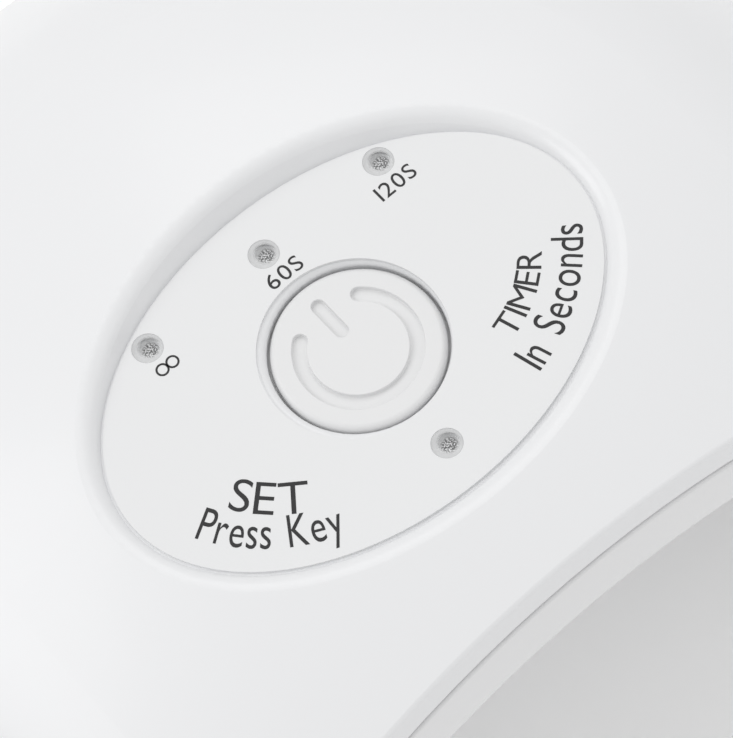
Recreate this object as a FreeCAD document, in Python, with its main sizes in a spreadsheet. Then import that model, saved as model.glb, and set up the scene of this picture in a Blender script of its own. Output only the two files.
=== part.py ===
"""UV LED nail lamp: a white moulded dome over an arched tunnel for the hand.

The model stands on its four feet at z = 0, +Z up, with its open front towards -Y and the origin
under the middle of its plan. Sizes are millimetres and degrees. Every driving size is a cell of
the sheet named Sizes; the formulas below it say what follows from those cells.
"""
import FreeCAD, Part
import math
import os
import re

import Sketcher

# Driving sizes: name, value, meaning.
DRIVING_SIZES = [
    # outer form
    ("half_width", 74.0, "half the width of the shell, and the radius of its round rear"),
    ("crown_height", 68.0, "table to the top of the crown"),
    ("dome_radius", 160.0, "radius of the crown"),
    ("shoulder_radius", 38.0, "radius between the crown and the upright sides"),
    ("front_reach", 38.9, "crown axis to the top of the front edge"),
    ("front_lean", 25.0, "lean of the front face from upright"),
    ("shell_wall", 2.0, "wall of the shell"),
    ("lip_round", 0.7, "round on the outer front edge of the shell"),
    ("foot_height", 2.0, "table to the base frame"),
    ("frame_thick", 2.5, "thickness of the base frame"),
    # control field
    ("label_lead", 4.0, "label middle in front of the crown axis"),
    ("label_long", 31.8, "half the long axis of the label"),
    ("label_short", 21.5, "half the short axis of the label"),
    ("label_drop", 4.4, "crown to the face of the label"),
    ("label_thick", 0.4, "thickness of the label"),
    ("label_gap", 0.3, "gap round the label"),
    ("recess_slope", 60.0, "slope of the wall round the recess"),
    ("recess_round", 2.1, "round where the recess meets the crown"),
    ("label_hole", 11.0, "radius of the label's hole round the button"),
    # power button
    ("button_radius", 10.0, "radius of the button cap"),
    ("button_gap", 0.35, "gap between the button and its hole"),
    ("button_aside", 0.5, "how far the button and its hole sit to one side in the label's hole"),
    ("button_sunk", 0.8, "label face to button face"),
    ("button_face", 1.6, "thickness of the button face"),
    ("button_wall", 1.4, "wall of the button skirt"),
    ("button_flange", 1.2, "how far the button's collar stands out, and its thickness"),
    ("button_travel", 0.5, "travel of the button"),
    ("button_rim_round", 0.7, "round on the rim of the cap"),
    ("button_hole_round", 0.9, "round on the rim of the button hole"),
    ("symbol_outer", 7.5, "outer radius of the sunk ring"),
    ("symbol_inner", 5.75, "inner radius of the sunk ring"),
    ("symbol_opening", 40.0, "half the angle of the ring's opening"),
    ("symbol_bar_low", 2.06, "near end of the sunk bar"),
    ("symbol_bar_high", 7.8, "far end of the sunk bar"),
    ("symbol_bar_width", 1.7, "width of the sunk bar"),
    ("symbol_depth", 0.5, "depth of the sunk symbol"),
    ("running_gap", 0.05, "gap between pieces that slide"),
    # indicator lamps
    ("lamp_pitch", 17.0, "spacing of the timer lamps"),
    ("lamp_row", 15.8, "timer lamps behind the label's middle"),
    ("lamp_front", 15.8, "power lamp in front of the label's middle"),
    ("lamp_hole", 1.83, "radius of a lamp hole"),
    ("lamp_radius", 1.75, "radius of an indicator lamp"),
    ("lamp_sunk", 1.1, "label face to the flat top of an indicator lamp"),
    ("lamp_edge_round", 0.3, "round on the top edge of an indicator lamp"),
    ("lamp_tall", 5.3, "height of an indicator lamp"),
    ("lamp_rim", 0.4, "how far the rim at the foot of a lamp stands out"),
    ("lamp_rim_tall", 1.0, "height of that rim"),
    ("lead_pitch", 1.27, "spacing of the leads of a lamp"),
    ("lead_side", 0.5, "side of a square lead"),
    # control board
    ("board_depth", 5.7, "seat underside to the control board"),
    ("board_thick", 1.6, "thickness of the control board"),
    ("board_long", 50.0, "control board across"),
    ("board_wide", 40.0, "control board front to back"),
    ("board_corner", 2.0, "round at the corners of the control board"),
    ("post_radius", 2.5, "radius of a board post"),
    ("post_across", 21.0, "board posts from the middle"),
    ("post_back", 8.5, "rear board posts behind the label's middle"),
    ("post_front", 15.0, "front board posts in front of the label's middle"),
    ("switch_side", 6.0, "side of the tact switch"),
    ("switch_tall", 3.5, "height of the tact switch body"),
    ("plunger_radius", 1.7, "radius of the tact switch plunger"),
    ("plunger_top", 4.3, "board to the top of the plunger"),
    ("plunger_sunk", 1.2, "plunger inside the switch body"),
    ("chip_aside", 17.5, "timer chip and drivers from the middle line"),
    ("chip_front", 4.0, "timer chip and drivers in front of the label's middle"),
    ("connector_aside", 8.3, "connectors from the middle line"),
    ("connector_back", 16.2, "connectors behind the label's middle"),
    ("connector_wide", 6.0, "connector across"),
    ("connector_deep", 4.5, "connector front to back"),
    ("connector_tall", 4.5, "connector height"),
    # timer chip and drivers, on top of the board
    ("chip_wide", 3.9, "timer chip across"),
    ("chip_long", 9.9, "timer chip front to back"),
    ("chip_tall", 1.5, "height of the timer chip"),
    ("chip_lift", 0.15, "board to the underside of the chip"),
    ("chip_leg_pitch", 1.27, "spacing of the chip's legs"),
    ("chip_leg_reach", 2.4, "middle of the chip to the middle of a leg"),
    ("chip_leg_long", 1.4, "length of a leg"),
    ("chip_leg_side", 0.45, "width and thickness of a leg"),
    ("driver_pitch", 8.4, "spacing of the two drivers"),
    ("driver_long", 6.0, "driver across"),
    ("driver_wide", 6.4, "driver front to back"),
    ("driver_tall", 2.2, "height of a driver"),
    ("driver_lift", 0.1, "board to the underside of a driver"),
    ("driver_metal", 0.6, "thickness of a driver's tab and legs"),
    ("driver_tab_reach", 3.3, "middle of a driver to the middle of its tab"),
    ("driver_tab_long", 1.6, "tab across"),
    ("driver_tab_wide", 5.2, "tab front to back"),
    ("driver_leg_reach", 3.8, "middle of a driver to the middle of a leg"),
    ("driver_leg_pitch", 4.6, "spacing of a driver's legs"),
    ("driver_leg_long", 2.4, "length of a driver's leg"),
    ("driver_leg_wide", 0.8, "width of a driver's leg"),
    # coil, capacitors and resistors, under the board
    ("coil_aside", 9.0, "coil from the middle line"),
    ("coil_side", 6.0, "side of the coil"),
    ("coil_tall", 3.0, "height of the coil"),
    ("can_aside", 8.0, "electrolytic capacitor from the middle line"),
    ("can_base", 6.6, "side of the capacitor's foot"),
    ("can_base_tall", 1.0, "height of the capacitor's foot"),
    ("can_radius", 3.15, "radius of the capacitor's can"),
    ("can_tall", 5.4, "board to the top of the can"),
    ("supply_front", 4.0, "coil and can in front of the label's middle"),
    ("resistor_pitch", 4.0, "spacing of the resistors, both ways"),
    ("resistor_back", 5.0, "first row of resistors behind the label's middle"),
    ("resistor_long", 1.6, "resistor across"),
    ("resistor_wide", 0.8, "resistor front to back"),
    ("resistor_tall", 0.5, "height of a resistor"),
    ("capacitor_near", 5.0, "inner small capacitors from the middle line"),
    ("capacitor_far", 9.0, "outer small capacitors from the middle line"),
    ("capacitor_back", 13.0, "small capacitors behind the label's middle"),
    ("capacitor_long", 2.0, "small capacitor across"),
    ("capacitor_wide", 1.2, "small capacitor front to back"),
    ("capacitor_tall", 0.9, "height of a small capacitor"),
    # liner
    ("groove_gap", 0.6, "groove between the shell and the liner's flange"),
    ("flange_sunk", 0.1, "front face of the flange behind the lip"),
    ("flange_thick", 2.0, "thickness of the flange"),
    ("flange_round", 0.5, "round on the outer edge of the flange"),
    ("mouth_round", 1.4, "round on the inner edge of the flange"),
    ("mouth_drop", 8.6, "front edge to the mouth, along the front face"),
    ("mouth_radius", 115.0, "radius of the top of the mouth"),
    ("mouth_shoulder", 30.0, "radius at the upper corners of the mouth"),
    ("mouth_depth", 19.0, "crown axis to where the mouth starts to rise"),
    ("tunnel_half", 61.0, "half the inside width of the tunnel"),
    ("roof_room", 10.4, "ceiling to the underside of the control board"),
    ("ceiling_radius", 300.0, "radius of the ceiling"),
    ("tunnel_shoulder", 18.0, "radius between the ceiling and the walls of the tunnel"),
    ("liner_wall", 1.8, "wall of the liner"),
    # lamp boards and their beads
    ("lamp_board_thick", 1.2, "thickness of a lamp board"),
    ("lamp_board_gap", 1.2, "liner to a lamp board"),
    ("lamp_board_tall", 14.0, "height of the upright lamp boards"),
    ("lamp_board_low", 8.0, "table to the upright lamp boards"),
    ("side_board_long", 42.0, "side lamp board front to back"),
    ("side_board_middle", 24.0, "crown axis to the middle of the side boards"),
    ("rear_board_wide", 20.0, "rear lamp board across"),
    ("rear_board_angle", 32.0, "rear lamp boards from the middle line"),
    ("roof_board_long", 56.0, "roof lamp board across"),
    ("roof_board_wide", 40.0, "roof lamp board front to back"),
    ("roof_board_back", 5.0, "middle of the roof board behind the crown axis"),
    ("roof_bead_across", 20.0, "roof beads from the middle line"),
    ("roof_bead_pitch", 13.0, "roof beads from the middle of their board"),
    ("side_bead_pitch", 13.0, "spacing of the beads on a side board"),
    ("bead_base", 8.0, "side of a bead's base"),
    ("bead_base_thick", 1.0, "thickness of a bead's base"),
    ("bead_lip", 0.6, "lens radius to the well in its base"),
    ("lens_crown", 1.2, "radius of a lens's crown, in lens radii"),
    ("bead_lens", 3.3, "radius of a bead's lens"),
    ("bead_proud", 0.8, "lens inside the tunnel"),
    ("bead_gap", 0.5, "gap between a lens and its hole"),
    # screws and their bosses
    ("small_shank", 1.0, "radius of a small screw's shank"),
    ("small_head", 1.9, "radius of a small screw's head"),
    ("small_head_tall", 1.2, "height of a small screw's head"),
    ("small_boss", 2.2, "radius of a lamp board boss"),
    ("small_bite", 2.4, "small screw in its boss"),
    ("case_shank", 1.3, "radius of a case screw's shank"),
    ("case_head", 2.6, "radius of a case screw's head"),
    ("case_head_tall", 1.4, "height of a case screw's head"),
    ("case_bite", 8.0, "case screw in its boss"),
    ("case_boss", 3.2, "radius of a case boss"),
    ("case_boss_tall", 12.0, "height of a case boss"),
    ("case_boss_line", 5.0, "case boss axis inside the outline"),
    ("case_boss_front", 52.0, "crown axis to the front case bosses"),
    ("case_boss_angle", 35.0, "rear case bosses, from the side"),
    ("screw_clear", 0.2, "gap round a screw in a plain hole"),
    # feet
    ("foot_radius", 4.5, "radius of a foot"),
    ("foot_round", 0.5, "round under a foot"),
    ("foot_sink", 0.8, "foot inside the base frame"),
    ("foot_front", 37.0, "crown axis to the front feet"),
    ("foot_angle", 52.0, "rear feet, from the side"),
    # supply inlet
    ("socket_wide", 8.94, "socket shell across"),
    ("socket_tall", 3.26, "socket shell height"),
    ("socket_deep", 7.35, "socket shell front to back"),
    ("socket_wall", 0.3, "socket shell wall"),
    ("socket_back", 1.0, "closed end of the socket shell"),
    ("tongue_wide", 6.7, "socket tongue across"),
    ("tongue_thick", 0.7, "thickness of the socket tongue"),
    ("tongue_sunk", 0.8, "tongue inside the socket's mouth"),
    ("socket_gap", 0.25, "gap round the socket in the shell"),
    ("socket_sunk", 0.35, "rear of the shell to the socket's mouth"),
    ("inlet_board_long", 20.0, "inlet board across"),
    ("inlet_board_wide", 7.4, "inlet board front to back"),
    ("inlet_board_thick", 1.2, "inlet board thickness"),
    ("inlet_post_tall", 4.0, "height of the inlet board's posts"),
    ("inlet_post_across", 7.2, "inlet board posts from the middle line"),
    ("inlet_board_inset", 3.4, "shell outline to the rear edge of the inlet board"),
    # wires
    ("wire_radius", 0.7, "radius of a wire"),
    ("wire_pitch", 2.5, "spacing of the wires of a pair"),
    ("wire_sunk", 1.0, "length of wire inside a connector"),
    ("wire_drop", 5.0, "connector to where its wires turn down"),
    ("wire_step", 1.0, "step of a wire where it comes down beside a wall"),
    ("solder_inset", 2.4, "middle of the inlet board to its wires"),
    ("solder_drop", 3.0, "top of an upright board to the ends of its wires"),
    ("supply_bend_first", 48.0, "rear wall to the first bend of the supply pair"),
    ("supply_bend_second", 22.0, "rear wall to the second bend"),
    ("supply_bend_last", 7.5, "rear wall to the last bend"),
    ("supply_bend_aside", 5.8, "second bend from the middle line"),
    ("supply_fall", 8.5, "fall of the supply pair to its second bend"),
    ("supply_bend_height", 19.0, "inlet board to the last bend"),
    ("supply_end_height", 9.0, "inlet board to where the pair comes down straight"),
    ("side_solder", 4.0, "end of the roof board to the wires of the side boards"),
    ("side_wire_front", 8.0, "crown axis to the wires of the side boards"),
    ("side_bend_in", 18.8, "liner wall to the first bend of a side wire"),
    ("side_bend_fall", 4.5, "ceiling to the second bend of a side wire"),
    ("side_bend_height", 6.0, "upright board to the bend above it"),
    ("rear_solder", 10.0, "end of the roof board to the wires of the rear boards"),
    ("rear_bend_in", 18.0, "liner wall to the first bend of a rear wire"),
    ("rear_bend_fall", 6.5, "ceiling to the second bend of a rear wire"),
    ("wall_bend_in", 0.8, "liner wall to the second bend of a side or rear wire"),
]

# What follows from the driving sizes.
FORMULAS = {
    "dome_centre": "crown_height - dome_radius",
    "edge_height": "dome_centre + sqrt(dome_radius^2 - front_reach^2)",
    "front_base": "front_reach + (edge_height - foot_height) * tan(front_lean)",
    "crown_y": "(front_base - half_width) / 2",
    "edge_y": "crown_y - front_reach",
    "shell_low": "foot_height + frame_thick",
    "label_y": "crown_y - label_lead",
    "label_top": "crown_height - label_drop",
    "seat_top": "label_top - label_thick",
    "seat_low": "seat_top - shell_wall",
    "board_top": "seat_low - board_depth",
    "board_low": "board_top - board_thick",
    "ceiling_height": "board_low - roof_room",
    "button_top": "label_top - button_sunk",
    "button_under": "button_top - button_face",
    "button_hole": "button_radius + button_gap",
    "collar_top": "seat_low - running_gap",
    "lamp_top": "label_top - lamp_sunk",
    "wire_level": "board_top + connector_tall / 2",
    "liner_half": "tunnel_half + liner_wall",
    "liner_top": "ceiling_height + liner_wall",
    "bead_hole": "bead_lens + bead_gap",
    "side_board_y": "crown_y - side_board_middle",
    "roof_board_y": "crown_y + roof_board_back",
    "roof_board_low": "liner_top + lamp_board_gap",
    "bead_line": "lamp_board_low + lamp_board_tall / 2",
    "case_line": "half_width - case_boss_line",
    "foot_line": "(half_width + tunnel_half) / 2",
    "inlet_board_low": "shell_low + inlet_post_tall",
    "inlet_board_top": "inlet_board_low + inlet_board_thick",
    "inlet_back_y": "crown_y + half_width - inlet_board_inset",
    "inlet_board_y": "inlet_back_y - inlet_board_wide / 2",
    "socket_y": "crown_y + half_width - socket_sunk - socket_deep / 2",
    "socket_middle": "inlet_board_top + socket_tall / 2",
}

BEYOND = 5.0
FRONT_SWEEP = 50.0

NAMES = {name for name, _, _ in DRIVING_SIZES}
doc = FreeCAD.newDocument("nail_lamp")
sheet = doc.addObject("Spreadsheet::Sheet", "Sizes")
for row, (name, value, meaning) in enumerate(DRIVING_SIZES, start=1):
    sheet.set(f"A{row}", meaning)
    sheet.set(f"B{row}", str(value))
    sheet.setAlias(f"B{row}", name)
doc.recompute()


def sized(text):
    """Write a formula out in cells of the sheet."""
    def written(match):
        word = match[0]
        if word in FORMULAS:
            return f"({sized(FORMULAS[word])})"
        return f"Sizes.{word}" if word in NAMES else word
    return re.sub(r"[a-z][a-z_]+", written, str(text))


def number(text):
    """The value of a formula."""
    return float(sheet.evalExpression(sized(text)))


def bind(item, **formulas):
    """Bind properties of an object to formulas; a double underscore stands for a dot."""
    for name, text in formulas.items():
        item.setExpression(name.replace("__", "."), sized(text))
    return item


def place(item, x="0", y="0", z="0", turn=None):
    """Bind the place of an object, after a fixed or formula-free turn."""
    if turn is not None:
        item.Placement = FreeCAD.Placement(FreeCAD.Vector(), turn)
    return bind(item, Placement__Base__x=x, Placement__Base__y=y, Placement__Base__z=z)


def turned(axis, angle):
    """A rotation about a named axis, in degrees."""
    ways = {"x": (1, 0, 0), "y": (0, 1, 0), "z": (0, 0, 1)}
    return FreeCAD.Rotation(FreeCAD.Vector(*ways[axis]), angle)


UPRIGHT = turned("x", 90)
SIDEWAYS = FreeCAD.Rotation(0.5, 0.5, 0.5, 0.5)


def block(name, x, y, low, long, wide, tall):
    """A box, by its middle in plan, its low face and its three sizes."""
    item = bind(doc.addObject("Part::Box", name), Length=long, Width=wide, Height=tall)
    return place(item, f"({x}) - ({long}) / 2", f"({y}) - ({wide}) / 2", low)


def rod(name, x, y, low, radius, tall, turn=None):
    """A cylinder, by the middle of its starting face, its radius and its height."""
    item = bind(doc.addObject("Part::Cylinder", name), Radius=radius, Height=tall)
    return place(item, x, y, low, turn)


def fused(name, items):
    """Several objects as one."""
    item = doc.addObject("Part::MultiFuse", name)
    item.Shapes = items
    item.Refine = True
    return item


def shared(name, items):
    """The space that several objects share."""
    item = doc.addObject("Part::MultiCommon", name)
    item.Shapes = items
    item.Refine = True
    return item


def cut(name, base, tools):
    """An object less its tools."""
    item = doc.addObject("Part::Cut", name)
    item.Base = base
    item.Tool = tools[0] if len(tools) == 1 else fused(name + "_tools", tools)
    item.Refine = True
    return item


def rounded(name, base, radius, wanted):
    """Round the edges of an object that pass the test."""
    doc.recompute()
    edges = [n for n, edge in enumerate(base.Shape.Edges, start=1) if wanted(edge)]
    if not edges:
        raise RuntimeError(f"{name}: no edge to round")
    item = doc.addObject("Part::Fillet", name)
    item.Base = base
    item.Edges = [(n, number(radius), number(radius)) for n in edges]
    return item


def fix_point(sketch, geometry, point, x, y):
    """Bind a point of a sketch to two formulas."""
    for kind, text in (("DistanceX", x), ("DistanceY", y)):
        index = sketch.addConstraint(
            Sketcher.Constraint(kind, -1, 1, geometry, point, number(text)))
        sketch.setExpression(f"Constraints[{index}]", sized(text))


def bind_size(sketch, kind, geometry, text):
    """Bind a radius of a sketch to a formula."""
    index = sketch.addConstraint(Sketcher.Constraint(kind, geometry, number(text)))
    sketch.setExpression(f"Constraints[{index}]", sized(text))


def draw_polygon(sketch, points):
    """Draw a closed outline of straight lines through points given by formulas."""
    ends = [FreeCAD.Vector(number(x), number(y), 0) for x, y in points]
    count = len(points)
    for n in range(count):
        sketch.addGeometry(Part.LineSegment(ends[n], ends[(n + 1) % count]), False)
    for n, (x, y) in enumerate(points):
        sketch.addConstraint(Sketcher.Constraint("Coincident", n - 1 if n else count - 1, 2, n, 1))
        fix_point(sketch, n, 1, x, y)
    return sketch


def draw_arch(sketch, half, top, radius, shoulder, low, whole=True):
    """Draw a closed arch: upright sides, a round at each shoulder and a curved top."""
    centre = number(f"({top}) - ({radius})")
    hand = number(half) - number(shoulder)
    reach = number(radius) - number(shoulder)
    rise = math.sqrt(reach**2 - hand**2)
    lean = math.atan2(rise, hand)
    side, floor = number(half), number(low)
    level = centre + rise

    def spot(x, y):
        return FreeCAD.Vector(x, y, 0)

    def arc(x, y, size, start, end):
        circle = Part.Circle(spot(x, y), FreeCAD.Vector(0, 0, 1), size)
        return Part.ArcOfCircle(circle, start, end)

    far = math.pi - lean if whole else math.pi / 2
    sketch.addGeometry(Part.LineSegment(spot(side, floor), spot(side, level)), False)
    sketch.addGeometry(arc(hand, level, number(shoulder), 0, lean), False)
    sketch.addGeometry(arc(0, centre, number(radius), lean, far), False)
    if whole:
        sketch.addGeometry(arc(-hand, level, number(shoulder), far, math.pi), False)
        sketch.addGeometry(Part.LineSegment(spot(-side, level), spot(-side, floor)), False)
        joints = [(0, 2, 1, 1), (1, 2, 2, 1), (2, 2, 3, 1), (3, 2, 4, 1)]
    else:
        sketch.addGeometry(Part.LineSegment(spot(0, number(top)), spot(0, floor)), False)
        joints = [(0, 2, 1, 1), (1, 2, 2, 1)]
        sketch.addConstraint(Sketcher.Constraint("Coincident", 2, 2, 3, 1))
    last = sketch.GeometryCount - 1
    sketch.addGeometry(Part.LineSegment(spot(-side if whole else 0, floor), spot(side, floor)), False)
    for joint in joints:
        sketch.addConstraint(Sketcher.Constraint("Tangent", *joint))
    sketch.addConstraint(Sketcher.Constraint("Coincident", last, 2, last + 1, 1))
    sketch.addConstraint(Sketcher.Constraint("Coincident", last + 1, 2, 0, 1))
    sketch.addConstraint(Sketcher.Constraint("Vertical", 0))
    sketch.addConstraint(Sketcher.Constraint("Vertical", last))
    fix_point(sketch, last + 1, 2, half, low)
    fix_point(sketch, last + 1, 1, f"-({half})" if whole else "0", low)
    bind_size(sketch, "Radius", 1, shoulder)
    bind_size(sketch, "Radius", 2, radius)
    fix_point(sketch, 2, 3, "0", f"({top}) - ({radius})")
    if whole:
        bind_size(sketch, "Radius", 3, shoulder)
    return sketch


def free_sketch(name, turn, x="0", y="0", z="0"):
    """An empty sketch in its own place."""
    return place(doc.addObject("Sketcher::SketchObject", name), x, y, z, turn)


def swept_round(name, sketch, axis, angle, z="0"):
    """Turn a sketch about an axis through the crown axis at height z."""
    item = doc.addObject("Part::Revolution", name)
    item.Source = sketch
    item.Axis = FreeCAD.Vector(*axis)
    item.Angle = angle
    item.Solid = True
    return bind(item, Base__y="crown_y", Base__z=z)


def lofted(name, sections):
    """A straight-sided loft between closed outlines."""
    item = doc.addObject("Part::Loft", name)
    item.Sections = sections
    item.Solid = True
    item.Ruled = True
    return item


def window(name, forward, low, high):
    """All the space behind the front face, moved forward, between two heights."""
    lean_y = f"edge_y - ({forward}) / cos(front_lean)"
    outline = [
        (f"{lean_y} - (edge_height - ({low})) * tan(front_lean)", low),
        (f"crown_y + half_width + {BEYOND}", low),
        (f"crown_y + half_width + {BEYOND}", high),
        (f"{lean_y} - (edge_height - ({high})) * tan(front_lean)", high),
    ]
    sketch = draw_polygon(free_sketch(name + "_outline", SIDEWAYS), outline)
    item = doc.addObject("Part::Extrusion", name)
    item.Base = sketch
    item.DirMode = "Normal"
    item.Symmetric = True
    item.Solid = True
    return bind(item, LengthFwd=f"2 * (half_width + {BEYOND})")


def dome(name, inset, forward, low, high=f"crown_height + {BEYOND}"):
    """The outer form, inset all over: a round rear and a front that falls to the lip."""
    half = f"half_width - ({inset})"
    top = f"crown_height - ({inset})"
    radius = f"dome_radius - ({inset})"
    shoulder = f"shoulder_radius - ({inset})"
    floor = f"-{BEYOND}"
    rear = draw_arch(free_sketch(name + "_half", UPRIGHT, y="crown_y"),
                     half, top, radius, shoulder, floor, whole=False)
    front = draw_arch(free_sketch(name + "_whole", UPRIGHT, y="crown_y"),
                      half, top, radius, shoulder, floor)
    solids = [
        swept_round(name + "_rear", rear, (0, 0, 1), 180),
        swept_round(name + "_front", front, (1, 0, 0), FRONT_SWEEP, "dome_centre"),
    ]
    whole = fused(name + "_form", solids)
    return shared(name, [whole, window(name + "_window", forward, low, high)])


def finished(name, item):
    """Name an object as a sub-part."""
    item.Label = name
    parts.append(item)
    return item



def oval(name, grow, z):
    """An ellipse round the label's middle, larger than the label by a formula."""
    item = bind(doc.addObject("Part::Ellipse", name),
                MajorRadius=f"label_long + {grow}", MinorRadius=f"label_short + {grow}")
    return place(item, "0", "label_y", z)


def own_sketch(body, name, role):
    """A sketch on one of a body's own origin planes."""
    sketch = body.newObject("Sketcher::SketchObject", name)
    plane = next(item for item in body.Origin.OriginFeatures if item.Role == role)
    sketch.AttachmentSupport = [(plane, "")]
    sketch.MapMode = "FlatFace"
    return sketch


def spun_body(name, outline, x="0", y="0"):
    """A body turned from an outline of radius and height."""
    body = doc.addObject("PartDesign::Body", name)
    sketch = draw_polygon(own_sketch(body, name + "_outline", "XZ_Plane"), outline)
    spin = body.newObject("PartDesign::Revolution", name + "_spin")
    spin.Profile = sketch
    spin.ReferenceAxis = (sketch, ["V_Axis"])
    spin.Angle = 360
    return place(body, x, y)


def board_body(name, x, y, low, long, wide, thick, holes, hole_radius, corner):
    """A flat board with round corners and plain holes, given from its own middle."""
    body = doc.addObject("PartDesign::Body", name)
    ends = [(-1, -1), (1, -1), (1, 1), (-1, 1)]
    outline = [(f"({long}) / 2 * {u}", f"({wide}) / 2 * {v}") for u, v in ends]
    sketch = draw_polygon(own_sketch(body, name + "_outline", "XY_Plane"), outline)
    for u, v in holes:
        spot = FreeCAD.Vector(number(u), number(v), 0)
        ring = Part.Circle(spot, FreeCAD.Vector(0, 0, 1), number(hole_radius))
        index = sketch.addGeometry(ring, False)
        bind_size(sketch, "Radius", index, hole_radius)
        fix_point(sketch, index, 3, u, v)
    pad = body.newObject("PartDesign::Pad", name + "_pad")
    pad.Profile = sketch
    bind(pad, Length=thick)
    doc.recompute()
    corners = [f"Edge{n}" for n, edge in enumerate(pad.Shape.Edges, start=1)
               if edge.Curve.TypeId == "Part::GeomLine" and abs(edge.tangentAt(0).z) > 0.5]
    soft = body.newObject("PartDesign::Fillet", name + "_corners")
    soft.Base = (pad, corners)
    bind(soft, Radius=corner)
    body.Tip = soft
    return place(body, x, y, low)


def local_rod(name, radius, start, length):
    """A cylinder on the local Z axis, from start upwards."""
    return rod(name, "0", "0", start, radius, length)


def aimed_rod(name, spot, turn, radius, start, length):
    """A cylinder along the turned Z axis, from a start measured from the spot."""
    way = turn.multVec(FreeCAD.Vector(0, 0, 1))
    start_at = [f"({text}) + ({start}) * ({share:.9f})" for text, share in zip(spot, way)]
    return rod(name, *start_at, radius, length, turn)


def aimed_block(name, spot, turn, long, wide, tall):
    """A box that stands on a spot along the turned Z axis, centred on it."""
    ways = [turn.multVec(FreeCAD.Vector(*axis)) for axis in ((1, 0, 0), (0, 1, 0))]
    item = bind(doc.addObject("Part::Box", name), Length=long, Width=wide, Height=tall)
    corner = [f"({text}) - ({long}) / 2 * ({across:.9f}) - ({wide}) / 2 * ({along:.9f})"
              for text, across, along in zip(spot, *ways)]
    return place(item, *corner, turn=turn)


def set_at(item, spot, turn):
    """Put an object made about its own origin in its place."""
    return place(item, *spot, turn=turn)


def stadium(name, y, z, wide, tall, deep):
    """A round-ended slot along Y, by its middle."""
    items = [block(name + "_web", "0", y, f"({z}) - ({tall}) / 2",
                   f"({wide}) - ({tall})", deep, tall)]
    for side, hand in (("left", -1), ("right", 1)):
        items.append(rod(f"{name}_{side}", f"(({wide}) - ({tall})) / 2 * {hand}",
                         f"({y}) + ({deep}) / 2", z, f"({tall}) / 2", deep, UPRIGHT))
    return fused(name, items)


# The places that several pieces share.

def polar(radius, angle, hand):
    """A place in plan at an angle from the side of the crown axis."""
    return f"{hand} * ({radius}) * cos({angle})", f"crown_y + ({radius}) * sin({angle})"


HANDS = (-1, 1)
BOARD_POSTS = [(f"{hand} * post_across", along) for hand in HANDS
               for along in ("post_back", "-post_front")]
LAMP_SPOTS = {
    "indicator_lamp_hold": ("-lamp_pitch", "label_y + lamp_row"),
    "indicator_lamp_60s": ("0", "label_y + lamp_row"),
    "indicator_lamp_120s": ("lamp_pitch", "label_y + lamp_row"),
    "indicator_lamp_power": ("0", "label_y - lamp_front"),
}
CASE_SPOTS = [(f"{hand} * case_line", "crown_y - case_boss_front") for hand in HANDS]
CASE_SPOTS += [polar("case_line", "case_boss_angle", hand) for hand in HANDS]
FOOT_SPOTS = [(f"{hand} * foot_line", "crown_y - foot_front") for hand in HANDS]
FOOT_SPOTS += [polar("foot_line", "foot_angle", hand) for hand in HANDS]
INLET_POSTS = [(f"{hand} * inlet_post_across", "0") for hand in HANDS]
REAR_TURN = number("rear_board_angle")
SAG = "(roof_bead_across^2 + (roof_board_back + roof_bead_pitch)^2) / (2 * ceiling_radius)"
WALL_BEAD = "lamp_board_gap + liner_wall + bead_proud"
ROOF_SCREWS = (0, 5)
CHIP_LEGS = 8


def rear_spot(hand, out, aside="0"):
    """A place on a rear board: out from the crown axis and aside along the board."""
    reach = f"(liner_half + lamp_board_gap + ({out}))"
    x = f"{hand} * {reach} * sin(rear_board_angle) + ({aside}) * cos(rear_board_angle)"
    y = f"crown_y + {reach} * cos(rear_board_angle) - {hand} * ({aside}) * sin(rear_board_angle)"
    return x, y


def rear_turn(hand, tip):
    """The turn of something on a rear board, tipped to face in (90) or out (-90)."""
    return turned("z", -hand * REAR_TURN).multiply(turned("x", tip))


def bead_places():
    """Each bead: its place on its board, its turn towards the tunnel, its height."""
    places = []
    for hand in HANDS:
        for along in HANDS:
            spot = (f"{hand} * roof_bead_across",
                    f"roof_board_y + {along} * roof_bead_pitch", "roof_board_low")
            places.append((spot, turned("x", 180), f"{WALL_BEAD} + {SAG}"))
        for step in (-1, 0, 1):
            spot = (f"{hand} * (liner_half + lamp_board_gap)",
                    f"side_board_y + {step} * side_bead_pitch", "bead_line")
            places.append((spot, turned("y", -90 * hand), WALL_BEAD))
        places.append(((*rear_spot(hand, "0"), "bead_line"), rear_turn(hand, 90), WALL_BEAD))
    return places


def board_screw_places():
    """Each lamp board screw: its place on the board's inner face, its turn outwards."""
    places = []
    for hand in HANDS:
        roof = (f"{hand} * (roof_board_long / 2 - small_boss - 0.5)", "roof_board_y",
                "roof_board_low")
        places.append((roof, turned("x", 0)))
        for step in (-1, 1):
            side = (f"{hand} * (liner_half + lamp_board_gap)",
                    f"side_board_y + {step} * side_bead_pitch / 2", "bead_line")
            places.append((side, turned("y", 90 * hand)))
            rear = rear_spot(hand, "0", f"{step} * (rear_board_wide / 2 - small_boss - 0.5)")
            places.append(((*rear, "bead_line"), rear_turn(hand, -90)))
    return places


def screw(name, spot, turn, shank, length, head, head_tall):
    """A pan head screw: its head stands up from the spot and its shank goes down."""
    pin = local_rod(name + "_shank", shank, f"-({length})", f"{length} + {head_tall} / 2")
    cap = local_rod(name + "_head", head, "0", head_tall)
    slots = [block(f"{name}_slot_{n}", "0", "0", f"{head_tall} / 2",
                   f"{head} * {long}", f"{head} * {wide}", head_tall)
             for n, (long, wide) in enumerate(((1.2, 0.3), (0.3, 1.2)))]
    return set_at(cut(name, fused(name + "_blank", [cap, pin]), slots), spot, turn)


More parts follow.
